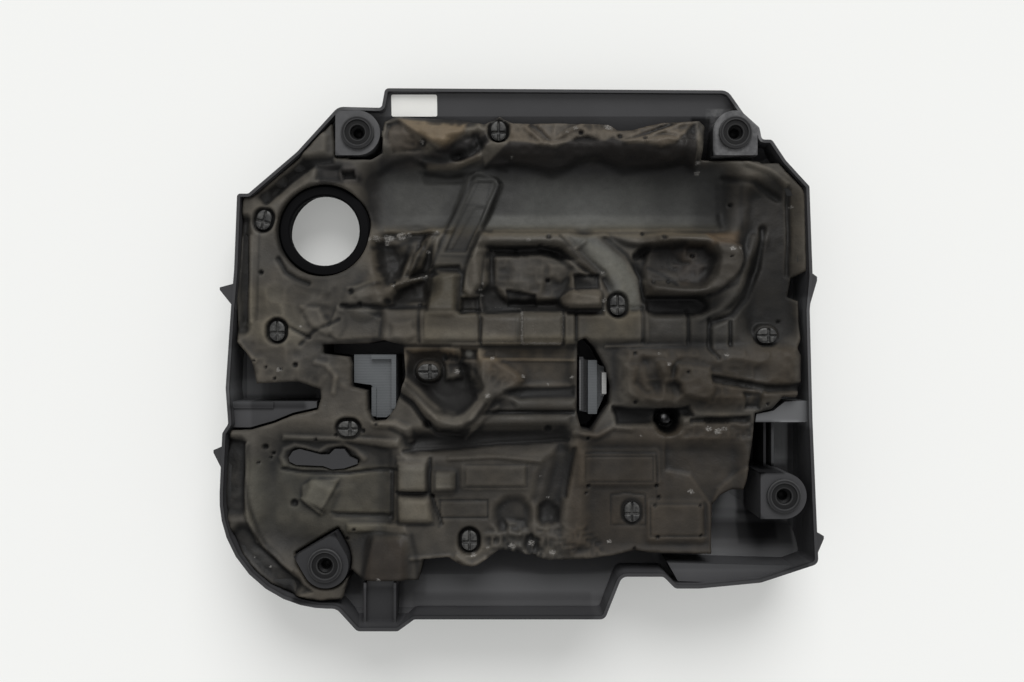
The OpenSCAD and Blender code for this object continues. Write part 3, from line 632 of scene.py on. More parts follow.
# Levels from the pad's rim surface: height at the rear, height at the front, width of the slope, outline
levels = [
    (-15, 0, 6, [(-36, 163), (-20, 161), (-14, 154), (-45, 80), (-48, 73), (-78, 74), (-70, 102),
                 (-44, 158)]),
    (-8, -6, 8, [(-22, 92), (28, 92), (50, 76), (38, 46), (-8, 46), (-22, 60)]),
    (-8, -3, 12, [(106, 84), (114, 95), (136, 97), (166, 96), (175, 86), (172, 70), (160, 62), (140, 60),
                  (120, 62), (108, 70)]),
    (-5, -1, 8, [(40, 106), (54, 90), (77, 72), (83, 58), (86, 40), (112, 40), (110, 62), (100, 84),
                 (84, 97), (76, 106)]),
    (-7, -5, 4, [(114, 50), (160, 50), (168, 42), (160, 36), (116, 37)]),
]

# Ridges and grooves: height, half width, course
ridges = [
    (2.5, 3, [(6, 203), (14, 196), (22, 188)]), (-2.5, 3, [(13, 205), (21, 198), (30, 187)]),
    (2, 3, [(36, 192), (48, 200), (58, 205)]), (2.5, 3, [(94, 186), (112, 191), (132, 200), (148, 206)]),
    (-2.5, 3, [(104, 192), (122, 199), (138, 206)]), (2, 3, [(114, 188), (128, 192), (140, 189)]),
    (-2, 3, [(118, 194), (130, 196), (140, 194)]), (-3, 3, [(-244, 104), (-243, 60), (-242, 28)]),
    (2, 3, [(-238, 104), (-237, 60), (-236, 28)]),
    (-3, 4, [(-213, 84), (-206, 72), (-196, 66), (-186, 62)]),
    (1.5, 7, [(-128, 142), (-124, 130), (-119, 118)]), (2, 4, [(-118, 110), (-60, 111)]),
    (2, 4, [(-20, 110), (60, 110), (180, 112)]), (3, 3, [(-108, 106), (-96, 109), (-76, 110)]),
    (-3, 3, [(-88, 96), (-94, 82), (-99, 70)]), (-3, 2.5, [(-96, 68), (-84, 72)]),
    (-4, 4, [(-155, 42), (-120, 41), (-82, 41)]), (-4, 4, [(-50, 37), (-20, 37), (4, 39)]),
    (-2.5, 2.5, [(-88, 38), (-87, 10)]), (-2.5, 2.5, [(-33, 10), (-32, 30), (-36, 37)]),
    (-2.5, 2.5, [(40, 38), (40, 8)]), (-2.5, 2.5, [(52, 36), (52, 12)]),
    (-2.5, 2.5, [(110, 40), (110, 10)]), (-2.5, 3, [(151, 38), (151, 8)]),
    (-3, 3, [(169, 30), (169, 4), (176, -4)]), (-3, 3, [(188, 28), (188, 8)]),
    (2, 2.5, [(-100, 8), (-34, 8)]), (2, 2, [(-30, 9), (3, 9)]), (1.6, 2, [(-30, -5), (50, -6)]),
    (1.6, 2, [(78, 6), (150, 8)]), (2, 2.5, [(6, 36), (6, 9), (37, 9)]),
    (-4, 5, [(222, 112), (216, 76), (205, 50), (190, 34), (172, 27)]),
    (3, 6, [(212, 104), (205, 74), (194, 52), (176, 38), (160, 34)]),
    (-3, 3, [(244, 150), (245, 110), (243, 70)]), (3, 4, [(60, 100), (50, 92), (62, 80), (76, 69)]),
    (-4, 3.5, [(20, 96), (38, 92), (52, 80), (66, 70)]),
    (-3, 3, [(80, 103), (98, 88), (109, 68), (113, 46)]),
    (7, 8, [(-104, -24), (-92, -32), (-80, -46), (-68, -58), (-54, -62), (-42, -58), (-33, -48),
            (-27, -38)]),
    (5, 6, [(-124, -61), (-108, -62), (-97, -67), (-94, -76)]),
    (-4, 4, [(-106, -34), (-92, -44), (-82, -58), (-70, -70), (-50, -72)]),
    (3, 4, [(-18, -47), (-30, -56), (-40, -68), (-46, -76)]), (-3, 3, [(-118, 6), (-100, 7), (-60, 7)]),
    (3, 3, [(-237, -80), (-238, -120), (-234, -146), (-222, -168), (-206, -182), (-196, -188)]),
    (-2.5, 2.5, [(-208, -102), (-190, -105), (-150, -106), (-128, -103), (-106, -102)]),
    (2, 4, [(-206, -98), (-209, -92), (-206, -85), (-197, -81), (-186, -84), (-176, -87), (-168, -82),
            (-154, -80), (-143, -86), (-136, -93)]),
    (2.2, 2.5, [(-190, -128), (-173, -141)]), (-3, 3, [(-110, -104), (-110, -144)]),
    (-3, 2.5, [(-106, -122), (-80, -122)]), (-2.5, 2.5, [(-77, -92), (-76, -122), (-66, -148)]),
    (1.5, 1.5, [(-70, -116), (-56, -116)]),
    (-1.2, 1.6, [(-46, -97), (8, -97), (8, -116), (-46, -116), (-46, -97)]),
    (-1.4, 1.6, [(-68, -128), (-26, -128), (-26, -143), (-68, -143), (-68, -128)]),
    (-1.5, 1.8, [(60, -87), (122, -87), (123, -112)]),
    (-1, 1.5, [(60, -90), (119, -90), (119, -112), (60, -112), (60, -90)]),
    (-1.2, 1.6, [(116, -131), (164, -131), (164, -159), (116, -159), (116, -131)]),
    (1, 2, [(168, -131), (168, -172)]),
    (-1, 1.5, [(82, -124), (94, -122), (112, -124), (112, -150), (82, -150), (82, -124)]),
    (3, 4, [(50, -70), (70, -72), (84, -64), (100, -66)]), (-3, 4, [(50, -84), (46, -100), (42, -124)]),
    (2.5, 4, [(-52, -176), (-40, -184), (-28, -178)]), (2, 3, [(-60, -92), (-20, -90), (20, -94)]),
    (-2.5, 3, [(-100, -86), (-60, -84), (-20, -80), (20, -78), (44, -76)]),
    (2, 3, [(-92, -178), (-60, -176), (-54, -180)]), (-2.5, 3, [(-215, 30), (-200, 22), (-184, 14)]),
    (-2, 3, [(-192, 8), (-180, 20), (-166, 26), (-158, 30)]), (2.5, 4, [(-246, 10), (-240, 2), (-232, -6)]),
    (2, 4, [(-178, -8), (-168, -10), (-160, -20), (-162, -34)]),
    (2.5, 4, [(206, 171), (226, 164), (244, 150)]), (2, 3, [(184, 126), (184, 112)]),
    (-3, 5, [(188, 158), (214, 154), (236, 140)]),
]

# Crumpled zones: height, cell, seed, width of the fade, outline
rumples = [
    (2.6, 13, 21, 10, [(-126, 208), (164, 208), (162, 174), (-30, 174), (-126, 182)]),
    (1.6, 14, 22, 10, [(-134, 106), (-78, 106), (-86, 46), (-128, 46)]),
    (1.3, 15, 23, 10, [(-30, 98), (40, 96), (66, 72), (74, 42), (-26, 42)]),
    (1.1, 12, 24, 8, [(114, 104), (200, 98), (186, 60), (160, 48), (114, 48)]),
    (2.0, 15, 25, 10, [(88, 4), (246, 4), (246, -30), (200, -48), (92, -44)]),
    (2.2, 9, 26, 10, [(-24, -150), (60, -150), (80, -176), (0, -178), (-30, -168)]),
    (0.5, 10, 27, 8, [(-252, -70), (-240, -80), (-240, -140), (-206, -184), (-160, -208), (-214, -208),
                  (-256, -130)]),
    (1.8, 12, 28, 8, [(-66, 2), (-20, 2), (4, -20), (-20, -44), (-60, -26)]),
    (1.4, 10, 29, 10, [(130, -56), (206, -56), (206, -78), (130, -76)]),
    (1.2, 18, 30, 14, [(-236, 60), (-160, 60), (-150, -30), (-236, -24)]),
]

# Small holes: x, y, radius
holes = [
    (-228, 72, 2.2), (-115, 46, 3), (-87, 43, 2), (-147, 55, 3), (-139, 44, 2), (-110, 63, 2),
    (-24, 93, 1.6), (-2, 92, 1.6), (27, 65, 2), (28, 104, 2.4), (112, 107, 1.6), (130, 103, 2.6),
    (120, 63, 1.8), (133, 63, 1.8), (156, 87, 1.8), (168, 51, 2), (57, 197, 2.4), (91, 193, 2.6),
    (113, 191, 2), (-84, 188, 3), (193, 134, 2), (-64, -4, 2), (-79, -62, 4), (27, -66, 3.4),
    (-197, -132, 3.4), (-105, -8, 1.5), (103, 0, 1.5), (103, -42, 1.8), (-196, -10, 2.4), (-209, -14, 1.4),
    (-222, -12, 1.3), (-232, -6, 1.2), (-214, -22, 1.3), (-74, -124, 2), (-222, -82, 2.6), (-216, -88, 1.6),
    (-218, -92, 1.2), (-228, -96, 1.2), (62, -116, 1.8), (60, -122, 1.2), (122, -116, 1.8),
    (124, -126, 1.6), (122, -160, 1.6), (160, -133, 1.4), (160, -159, 1.4), (120, -133, 1.4),
    (-124, -62, 1.6), (-160, -72, 1.6), (-178, -76, 1.4), (-136, -68, 2), (234, 28, 1.6), (187, 85, 1.2),
    (14, -177, 2), (102, -170, 1.4), (-144, -155, 1.4), (-150, -163, 1.4), (62, -74, 1.6), (149, -16, 1.3),
    (219, -44, 1.2),
]

# Pale flecks where the skin is chipped: x, y, radius
flecks = [
    (-105, 106, 5), (-126, 103, 4), (-116, 104, 5), (-98, 107, 3), (-118, 99, 2.6), (-80, 91, 2.4),
    (-72, 109, 1.6), (-110, 60, 2), (-82, 69, 2.4), (-33, 57, 2.4), (-32, 52, 2), (-31, 62, 1.8),
    (77, 47, 3), (77, 38, 1.6), (10, 101, 2.4), (82, 203, 5), (-5, 176, 2), (163, 172, 3), (164, 164, 3),
    (247, 132, 2), (188, 92, 3.4), (196, 93, 2.6), (76, 72, 2), (-54, -16, 3), (-22, -4, 2.6),
    (5, -20, 2.4), (48, -21, 2.4), (27, -27, 1.6), (-26, -36, 3), (183, -1, 2.4), (132, -9, 2.6),
    (124, 0, 1.8), (218, -45, 1.6), (168, -66, 3), (176, -68, 4), (182, -66, 2.6), (152, -121, 3.2),
    (-5, -167, 3.4), (30, -172, 3.4), (12, -165, 3.4), (-38, -175, 3), (-26, -168, 1.8), (27, -126, 2),
    (20, -107, 1.6), (80, -164, 2.6), (-120, -195, 2.6), (-192, 24, 2), (-210, -14, 3), (-244, 0, 3),
    (-133, 102, 3), (-170, -46, 1.4), (108, -72, 1.6), (-216, -186, 1.8), (-230, -178, 1.4), (52, 201, 2.6),
    (44, 197, 2), (-85, 189, 2.6),
]

# Scuffed lines: strength, half width, course
scuffs = [
    (1.0, 2.4, [(4, 37), (4, 9), (38, 9)]), (0.7, 3, [(39, 36), (39, 10)]), (0.6, 3, [(-34, 10), (0, 10)]),
    (0.6, 3, [(14, 36), (14, 12)]), (0.6, 3, [(-34, 38), (-20, 41), (-4, 40), (20, 39)]),
    (0.9, 1.8, [(-104, 62), (-92, 67), (-84, 69)]), (0.5, 2, [(50, 37), (51, 12)]),
    (0.5, 2, [(110, 37), (110, 12)]), (0.6, 2.2, [(-118, 104), (-104, 107), (-76, 108)]),
    (0.5, 2, [(-84, 104), (-94, 84)]), (0.7, 2, [(-112, 60), (-86, 68)]),
    (0.5, 2.4, [(-30, 56), (-32, 80), (-36, 92)]), (0.6, 2, [(74, 52), (75, 41)]),
    (0.5, 2, [(40, 52), (56, 52), (72, 50)]), (0.6, 3, [(178, 104), (194, 96), (199, 84)]),
    (0.45, 3, [(-40, -172), (-20, -166), (0, -170), (30, -174), (52, -170)]),
    (0.5, 3, [(-12, -130), (0, -150), (6, -160)]), (0.6, 3, [(164, -66), (186, -68)]),
    (0.5, 2.4, [(84, -66), (112, -70)]), (0.5, 2.4, [(54, -68), (66, -72), (82, -66)]),
    (0.4, 2, [(-106, -98), (-80, -98)]), (0.4, 2, [(-106, -124), (-80, -124)]),
    (0.4, 3, [(-36, -10), (-24, -30), (-30, -44)]), (0.4, 2.4, [(-64, -24), (-52, -40), (-44, -54)]),
    (0.45, 3, [(-240, 12), (-236, -10), (-210, -20)]), (0.5, 2.5, [(50, 204), (62, 204), (74, 208)]),
]

# Dark lines along the folds, creases and edges, painted shade and shadow: strength, half width, course
foldShade = [
    # arm and its panel
    (0.75, 3, [(-40, 160), (-55, 130), (-67, 103), (-76, 77), (-80, 39)]),
    (0.75, 3, [(-16, 156), (-26, 124), (-35, 102), (-42, 89), (-47, 72), (-53, 39)]),
    (0.5, 2.4, [(-39, 162), (-17, 159)]),
    (0.45, 1.8, [(-35, 156), (-24, 156), (-38, 94), (-64, 93), (-35, 156)]),
    (0.5, 2, [(-68, 87), (-40, 86)]), (0.4, 2, [(-46, 134), (-31, 134)]),
    (0.8, 3.5, [(-68, 74), (-58, 73), (-49, 73)]),
    # rear ridge and the top of the trough
    (0.65, 5, [(-16, 168), (-4, 170), (14, 167), (32, 162), (44, 167), (55, 174), (70, 176), (85, 170),
               (97, 165), (114, 167), (138, 170), (150, 174), (159, 167)]),
    (0.8, 6, [(-84, 173), (-67, 174), (-52, 180), (-40, 186), (-28, 192)]),
    (0.7, 4, [(-126, 163), (-112, 172), (-96, 175), (-84, 170)]),
    (0.7, 3, [(-84, 164), (-64, 161), (-40, 164), (-24, 170), (-10, 166)]),
    (0.5, 2, [(-106, 208), (-90, 196), (-80, 188), (-70, 180)]), (0.4, 1.6, [(12, 200), (24, 190)]),
    (0.4, 1.6, [(40, 196), (52, 202)]), (0.4, 1.8, [(96, 190), (120, 198), (142, 206)]),
    # right end of the trough and the lip under it
    (0.5, 3, [(182, 152), (184, 112)]), (0.5, 3, [(186, 160), (202, 152), (202, 112)]),
    (0.4, 2, [(-30, 109), (60, 108), (176, 109)]),
    # corner by the filler
    (0.75, 5, [(-215, 145), (-204, 157), (-195, 165), (-179, 171), (-160, 169)]),
    (0.7, 3, [(-158, 168), (-157, 154), (-176, 154), (-177, 164)]), (0.8, 4, [(-150, 160), (-143, 157)]),
    (0.45, 4, [(-212, 100), (-211, 84), (-206, 72), (-196, 62), (-184, 56), (-168, 53)]),
    (0.5, 2, [(-230, 112), (-231, 30)]), (0.4, 2, [(-244, 76), (-244, 30)]),
    # pockets left of the arm
    (0.8, 4, [(-129, 94), (-114, 94), (-93, 103), (-72, 107)]),
    (0.75, 3.5, [(-96, 102), (-101, 84), (-106, 66)]), (0.7, 3, [(-82, 100), (-88, 84), (-94, 70)]),
    (0.7, 3, [(-152, 40), (-138, 44), (-117, 41), (-86, 40)]),
    (0.6, 3, [(-148, 54), (-132, 60), (-122, 62)]),
    (0.3, 3, [(-192, 36), (-186, 42), (-176, 43), (-162, 39), (-152, 33), (-151, 24), (-157, 14)]),
    (0.3, 3, [(-156, 36), (-148, 38), (-134, 36), (-122, 28), (-120, 14)]),
    # middle recess and the smooth channel
    (0.6, 4, [(-26, 95), (2, 93), (17, 94), (34, 87), (48, 76), (58, 67)]),
    (0.6, 3, [(-36, 40), (-10, 40), (14, 39), (40, 39)]),
    (0.6, 2.5, [(38, 105), (52, 89), (76, 68), (80, 58)]),
    (0.8, 4, [(78, 103), (98, 87), (108, 70), (113, 40)]),
    (0.7, 5, [(84, 103), (104, 96), (126, 94), (148, 97)]),
    (0.85, 3, [(116, 76), (124, 72), (134, 66), (140, 61)]),
    (0.35, 2, [(-10, 57), (-8, 42), (17, 42), (16, 52), (-10, 57)]),
    (0.35, 2, [(50, 70), (73, 70), (73, 58), (52, 57), (50, 70)]),
    (0.6, 2.5, [(36, 50), (40, 38), (74, 36)]),
    # ring
    (0.45, 4, [(106, 80), (112, 70), (118, 61), (140, 58), (160, 58), (172, 68), (176, 84), (166, 94),
               (140, 96)]),
    (0.8, 3.5, [(116, 50), (140, 49), (168, 50), (192, 62), (199, 80)]),
    (0.5, 3, [(220, 110), (214, 83), (204, 59), (188, 42), (162, 27)]),
    # row of blocks and the slope under it
    (0.5, 2, [(-87, 38), (-86, 10)]), (0.6, 2.2, [(-33, 8), (-33, 32), (-37, 38)]),
    (0.5, 2, [(41, 38), (41, 9)]), (0.5, 2, [(51, 36), (51, 12)]), (0.5, 2, [(112, 36), (112, 8)]),
    (0.5, 2, [(151, 36), (151, 8)]), (0.5, 2.4, [(170, 28), (170, 4), (182, -4)]),
    (0.5, 2.4, [(188, 28), (188, 8)]), (0.45, 2.5, [(-100, 8), (-34, 6), (50, 5)]),
    (0.7, 4, [(-10, -33), (16, -34), (50, -34)]), (0.5, 3, [(-30, -52), (48, -52)]),
    # winding lip and basin
    (0.7, 3.5, [(-106, -34), (-92, -46), (-80, -60), (-66, -67), (-48, -66), (-36, -56), (-28, -44)]),
    (0.6, 3, [(-98, -26), (-84, -40), (-72, -50), (-56, -54), (-42, -46), (-36, -34)]),
    (0.6, 3, [(-112, -66), (-96, -74), (-50, -76)]), (0.6, 3, [(-52, -8), (-38, -14), (-30, -28)]),
    (0.6, 3.5, [(-126, -82), (-112, -86), (-112, -148)]),
    # lower left
    (0.6, 2.4, [(-236, -80), (-239, -106), (-235, -132), (-226, -158), (-214, -176), (-201, -190)]),
    (0.5, 2, [(-206, -102), (-190, -104), (-128, -104), (-112, -104)]),
    (0.5, 2, [(-192, -129), (-175, -143), (-158, -115)]),
    (0.4, 2, [(-164, -143), (-136, -147), (-110, -148)]),
    (0.6, 2.2, [(-105, -98), (-105, -121), (-79, -121), (-79, -96)]),
    (0.6, 2.2, [(-105, -124), (-104, -149), (-73, -149)]),
    (0.6, 2.2, [(-72, -103), (-72, -120), (-53, -120), (-53, -104)]),
    (0.6, 2.5, [(-76, -92), (-77, -122), (-68, -150)]), (0.7, 3.5, [(-92, -158), (-87, -180), (-86, -202)]),
    (0.7, 3.5, [(-128, -162), (-136, -200)]),
    # lower right
    (0.7, 4, [(84, -50), (112, -54), (126, -50)]), (0.6, 3.5, [(150, -54), (176, -58), (204, -57)]),
    (0.5, 4, [(44, -80), (44, -104), (32, -134)]), (0.4, 1.4, [(60, -88), (121, -88), (122, -132)]),
    (0.4, 1.4, [(118, -132), (166, -132), (168, -172)]), (0.5, 3, [(52, -70), (64, -78), (80, -72)]),
    (0.6, 4, [(2, -172), (10, -160), (16, -166)]), (0.5, 4, [(26, -164), (40, -172), (58, -170)]),
    (0.5, 3, [(170, -20), (206, -26), (250, -31)]),
]

# Round spots: x, y, radius, colour
spots = [
    # The dark peg in the deep hole, and a small near-white spot on it that is a painted highlight
    (132, -58, 4.4, (0.05, 0.05, 0.052)), (131, -56.5, 1.6, (0.8, 0.8, 0.8)),
    # A dark spot in the hole at (-64, -4), painted shade, and a pale spot
    (-65, -4, 2.5, (0.02, 0.02, 0.02)), (-43, 0, 3, (0.09, 0.088, 0.08)),
]

# Tints that multiply the colour, those marked below painted light or shade: tone, strength, width of the
# fade, outline
tints = [
    ((0.62, 0.62, 0.6), 1.0, 6, [(-42, 162), (-17, 162), (-14, 154), (-34, 108), (-50, 76), (-78, 76),
                  (-68, 104), (-52, 146)]),
    ((0.6, 0.6, 0.58), 1.0, 6, [(-78, 74), (-48, 74), (-53, 38), (-82, 38)]),
    ((0.5, 0.48, 0.46), 1.0, 12, [(112, 104), (200, 100), (200, 70), (170, 36), (112, 36)]),
    ((0.55, 0.55, 0.55), 1.0, 30, rect(120, 166, 200, 112)),
    ((0.42, 0.42, 0.42), 1.0, 16, [(160, 158), (236, 158), (240, 40), (200, 8), (110, 8), (112, 40),
                  (196, 60), (196, 104), (160, 112)]),
    ((0.8, 0.77, 0.73), 0.9, 14, [(-30, 98), (60, 98), (76, 60), (36, 40), (-30, 40)]),
    ((1.7, 1.66, 1.55), 0.9, 8, rect(-34, 16, 50, -6)),
    ((0.7, 0.7, 0.7), 1.0, 14, [(-244, -150), (-150, -150), (-140, -204), (-200, -204), (-240, -170)]),
    ((0.7, 0.7, 0.7), 1.0, 10, [(-150, -155), (-84, -155), (-80, -204), (-150, -204)]),
    ((0.62, 0.61, 0.6), 1.0, 10, [(-122, 42), (-30, 42), (0, 38), (0, 12), (-30, 22), (-122, 22)]),
    ((0.72, 0.72, 0.7), 1.0, 12, rect(0, 40, 108, 8)),
    ((0.65, 0.64, 0.64), 1.0, 12, [(-60, -2), (12, -2), (12, -34), (-50, -34)]),
    ((0.5, 0.5, 0.5), 1.0, 10, [(-22, -32), (52, -32), (52, -64), (-34, -64)]),
    ((0.52, 0.51, 0.5), 1.0, 10, rect(-78, -82, 50, -106)),
    ((0.62, 0.61, 0.6), 1.0, 12, rect(-62, -104, 40, -166)),
    ((0.7, 0.66, 0.6), 0.9, 14, [(-132, 104), (-78, 106), (-82, 42), (-132, 44)]),
    ((0.75, 0.72, 0.66), 0.9, 20, [(206, 150), (258, 140), (256, 10), (196, 10), (200, 90)]),
    ((1.5, 1.28, 1.0), 1.0, 5, leftFacet),
    ((0.8, 0.74, 0.7), 1.0, 5, endFacet),
    # Painted shade in the deep valley of the rear ridge
    ((0.36, 0.35, 0.39), 1.0, 4, [(-84, 178), (-67, 184), (-52, 190), (-28, 196), (-25, 188), (-40, 176),
                  (-67, 170), (-86, 172)]),
    ((0.5, 0.49, 0.53), 1.0, 6, [(-124, 176), (-84, 181), (-84, 172), (-104, 166), (-126, 162)]),
    ((0.55, 0.55, 0.6), 1.0, 5, [(-178, 172), (-150, 172), (-140, 162), (-140, 152), (-178, 152)]),
    # Painted shade in the valley of the rear ridge
    ((0.7, 0.7, 0.74), 1.0, 5, ridgeDip),
    # Painted light on the lit lip below the ridge
    ((1.1, 1.02, 0.92), 1.0, 4, troughLip),
    ((1.02, 0.94, 0.86), 1.0, 4, lightFolds),
    # Painted shade on the steep face of the rear ridge, which faces away from the light
    ((0.16, 0.15, 0.16), 1.0, 3, [(-7, 189), (9, 188), (18, 185), (34, 183), (43, 187), (54, 193),
                  (63, 194), (77, 188), (84, 192), (98, 185), (109, 186), (127, 183), (139, 186),
                  (148, 195), (160, 205), (160, 168), (150, 172), (134, 169), (109, 168), (91, 169),
                  (77, 175), (63, 175), (48, 169), (31, 165), (9, 170), (-30, 169)]),
    # Painted shadow under the ridge's wavy lower edge, on the top of the trough
    ((0.8, 0.8, 0.86), 1.0, 9, [(-30, 169), (-8, 171), (9, 170), (31, 165), (48, 169), (63, 175), (77, 175),
                  (91, 169), (109, 168), (134, 169), (150, 172), (160, 168), (160, 163), (-30, 163)]),
    # Painted light on the trough's lit lower edge, with a warm brown cast
    ((1.2, 1.1, 0.9), 0.8, 8, [(-120, 114), (180, 116), (200, 108), (180, 104), (-120, 106)]),
    ((1.45, 1.15, 0.88), 0.9, 6, [(168, 108), (198, 109), (201, 96), (172, 96)]),
    ((1.15, 1.02, 0.85), 0.8, 10, [(-100, 6), (50, 6), (50, -28), (-10, -28), (-40, -6), (-100, -2)]),
    ((0.42, 0.37, 0.31), 1.0, 14, [(90, 8), (246, 8), (246, -40), (160, -48), (100, -42)]),
    ((0.52, 0.46, 0.4), 1.0, 14, [(52, -66), (206, -58), (206, -118), (168, -176), (40, -176), (44, -110)]),
    ((0.85, 0.83, 0.8), 0.9, 12, [(130, -58), (206, -58), (206, -100), (132, -100)]),
    ((0.4, 0.35, 0.32), 1.0, 8, [(-132, -160), (-98, -160), (-93, -202), (-136, -202)]),
    # Painted shade in the hollow round the filler
    ((0.72, 0.72, 0.72), 1.0, 5, [(-213, 108), (-211, 84), (-204, 70), (-190, 58), (-168, 54), (-168, 66),
                  (-150, 68), (-142, 80)]),
    ((1.35, 1.35, 1.28), 0.9, 12, [(-262, 60), (-212, 60), (-190, 30), (-190, 4), (-262, 20)]),
    ((1.12, 1.14, 1.06), 1.0, 14, [(-238, -92), (-112, -102), (-112, -160), (-180, -166), (-234, -150)]),
    ((1.12, 1.14, 1.12), 1.0, 4, rect(-105, -98, -80, -120)),
    ((1.12, 1.14, 1.12), 1.0, 4, [(-105, -126), (-80, -126), (-73, -146), (-103, -146)]),
    ((1.0, 1.02, 1.0), 1.0, 4, rect(-72, -103, -54, -118)),
    # Painted shade in the deep hole
    ((0.16, 0.17, 0.19), 1.0, 3, deepHole),
    ((0.62, 0.63, 0.66), 0.9, 8, [(-258, -70), (-240, -78), (-240, -140), (-226, -168), (-178, -204),
                  (-206, -210), (-240, -190), (-262, -130)]),
    ((0.6, 0.6, 0.62), 1.0, 8, [(103, 87), (115, 96), (134, 96), (140, 72), (124, 66), (112, 70)]),
    ((0.8, 0.68, 0.58), 1.0, 8, [(136, 96), (171, 98), (174, 84), (162, 60), (144, 60), (141, 72)]),
    ((0.95, 0.95, 1.15), 1.0, 5, [(116, 49), (160, 49), (166, 42), (160, 37), (116, 38)]),
    ((0.5, 0.52, 0.56), 0.9, 4, smallPocket),
    ((0.5, 0.52, 0.56), 0.9, 3, [(-10, 56), (16, 52), (16, 43), (-8, 43)]),
    # Painted light on the lit smooth channel
    ((1.25, 1.22, 1.12), 0.9, 10, [(60, 100), (84, 92), (104, 74), (110, 50), (104, 14), (60, 14), (62, 30),
                  (92, 40), (90, 62), (66, 82)]),
    ((1.7, 1.6, 1.5), 1.0, 8, rect(-98, 4, -56, -12)),
    ((1.2, 1.18, 1.08), 0.8, 8, [(-82, 70), (-54, 70), (-36, 36), (-36, 10), (-84, 10)]),
    ((0.75, 0.75, 0.77), 0.8, 8, [(37, -82), (48, -90), (42, -115), (38, -150), (30, -146), (14, -128),
                  (18, -106)]),
    ((0.7, 0.7, 0.74), 0.8, 8, [(-100, -68), (-50, -72), (50, -68), (44, -84), (-60, -82), (-100, -84)]),
    ((0.66, 0.68, 0.72), 0.8, 8, [(84, -46), (150, -46), (150, -54), (90, -62)]),
    ((0.72, 0.7, 0.7), 0.7, 16, [(196, 158), (244, 146), (242, 40), (214, 20), (204, 60), (200, 100)]),
]

# Painted light and shade laid down as even colours before the tints, the trough darker towards its top and
# lit along its lower lip, and the lit smooth channel: colour, strength, width of the fade, outline
lightAndShadeWashes = [
    ((0.042, 0.042, 0.04), 0.9, 14, [(-124, 168), (60, 168), (186, 166), (190, 112), (-124, 112)]),
    ((0.056, 0.057, 0.053), 0.9, 22, [(10, 158), (60, 158), (172, 154), (176, 118), (0, 118)]),
    ((0.07, 0.071, 0.066), 0.8, 9, [(46, 104), (60, 88), (80, 70), (86, 40), (108, 40), (106, 62), (96, 82),
                  (80, 96), (70, 104)]),
    ((0.08, 0.08, 0.073), 0.8, 8, [(-26, 126), (60, 125), (180, 125), (180, 114), (-32, 114)]),
    ((0.055, 0.055, 0.051), 0.7, 12, [(-112, 158), (-56, 158), (-74, 118), (-112, 118)]),
]


def areaOf(x, y, outline, reach):    # rows and columns of the grid within reach of an outline
    xs = [p[0] for p in outline]
    ys = [p[1] for p in outline]
    cols = np.nonzero((x[0] > min(xs) - reach) & (x[0] < max(xs) + reach))[0]
    rows = np.nonzero((y[:, 0] > min(ys) - reach) & (y[:, 0] < max(ys) + reach))[0]
    return slice(rows[0], rows[-1] + 1), slice(cols[0], cols[-1] + 1)


def insideShare(x, y, outline, slope):
    away, _, _, within = nearestOnLoop(x, y, outline)
    return smooth(0.5 + np.where(within, away, -away) / slope)


def nearLine(x, y, course):
    best = np.full(x.shape, 1e9)
    for (ax, ay), (bx, by) in zip(course, course[1:]):
        ex, ey = bx - ax, by - ay
        t = np.clip(((x - ax) * ex + (y - ay) * ey) / max(ex * ex + ey * ey, 1e-9), 0, 1)
        best = np.minimum(best, np.hypot(x - ax - t * ex, y - ay - t * ey))
    return best


def creased(x, y, cell, seed):    # sharp folds with soft valleys
    big = 1 - 2.2 * np.abs(softNoise(x + 3 * softNoise(x, y, cell, seed + 50), y, cell, seed))
    small = 1 - 2.2 * np.abs(softNoise(x, y, cell * 0.45, seed + 90))
    return 0.7 * big + 0.3 * small


def addLevels(x, y, z):
    for first, last, slope, outline in levels:
        part = areaOf(x, y, outline, slope)
        ys = [p[1] for p in outline]
        height = first + (last - first) * (max(ys) - y[part]) / (max(ys) - min(ys))
        share = insideShare(x[part], y[part], outline, slope)
        z[part] += (rimZ(y[part]) - padSet["drop"] + height - z[part]) * share


def addRelief(x, y, z):
    addLevels(x, y, z)
    for height, slope, outline in plateaus:
        part = areaOf(x, y, outline, slope)
        z[part] += height * insideShare(x[part], y[part], outline, slope)
    for height, reach, course in ridges:
        part = areaOf(x, y, course, reach)
        z[part] += height * smooth(1 - nearLine(x[part], y[part], course) / reach)
    for height, cell, seed, fade, outline in rumples:
        part = areaOf(x, y, outline, fade)
        share = insideShare(x[part], y[part], outline, fade)
        z[part] += height * share * creased(x[part], y[part], cell, seed)
    for hx, hy, radius in holes:
        part = areaOf(x, y, [(hx, hy)], radius + 3)
        away = np.hypot(x[part] - hx, y[part] - hy)
        z[part] -= padSet["holeDepth"] * smooth(1.3 - away / radius)
    return z


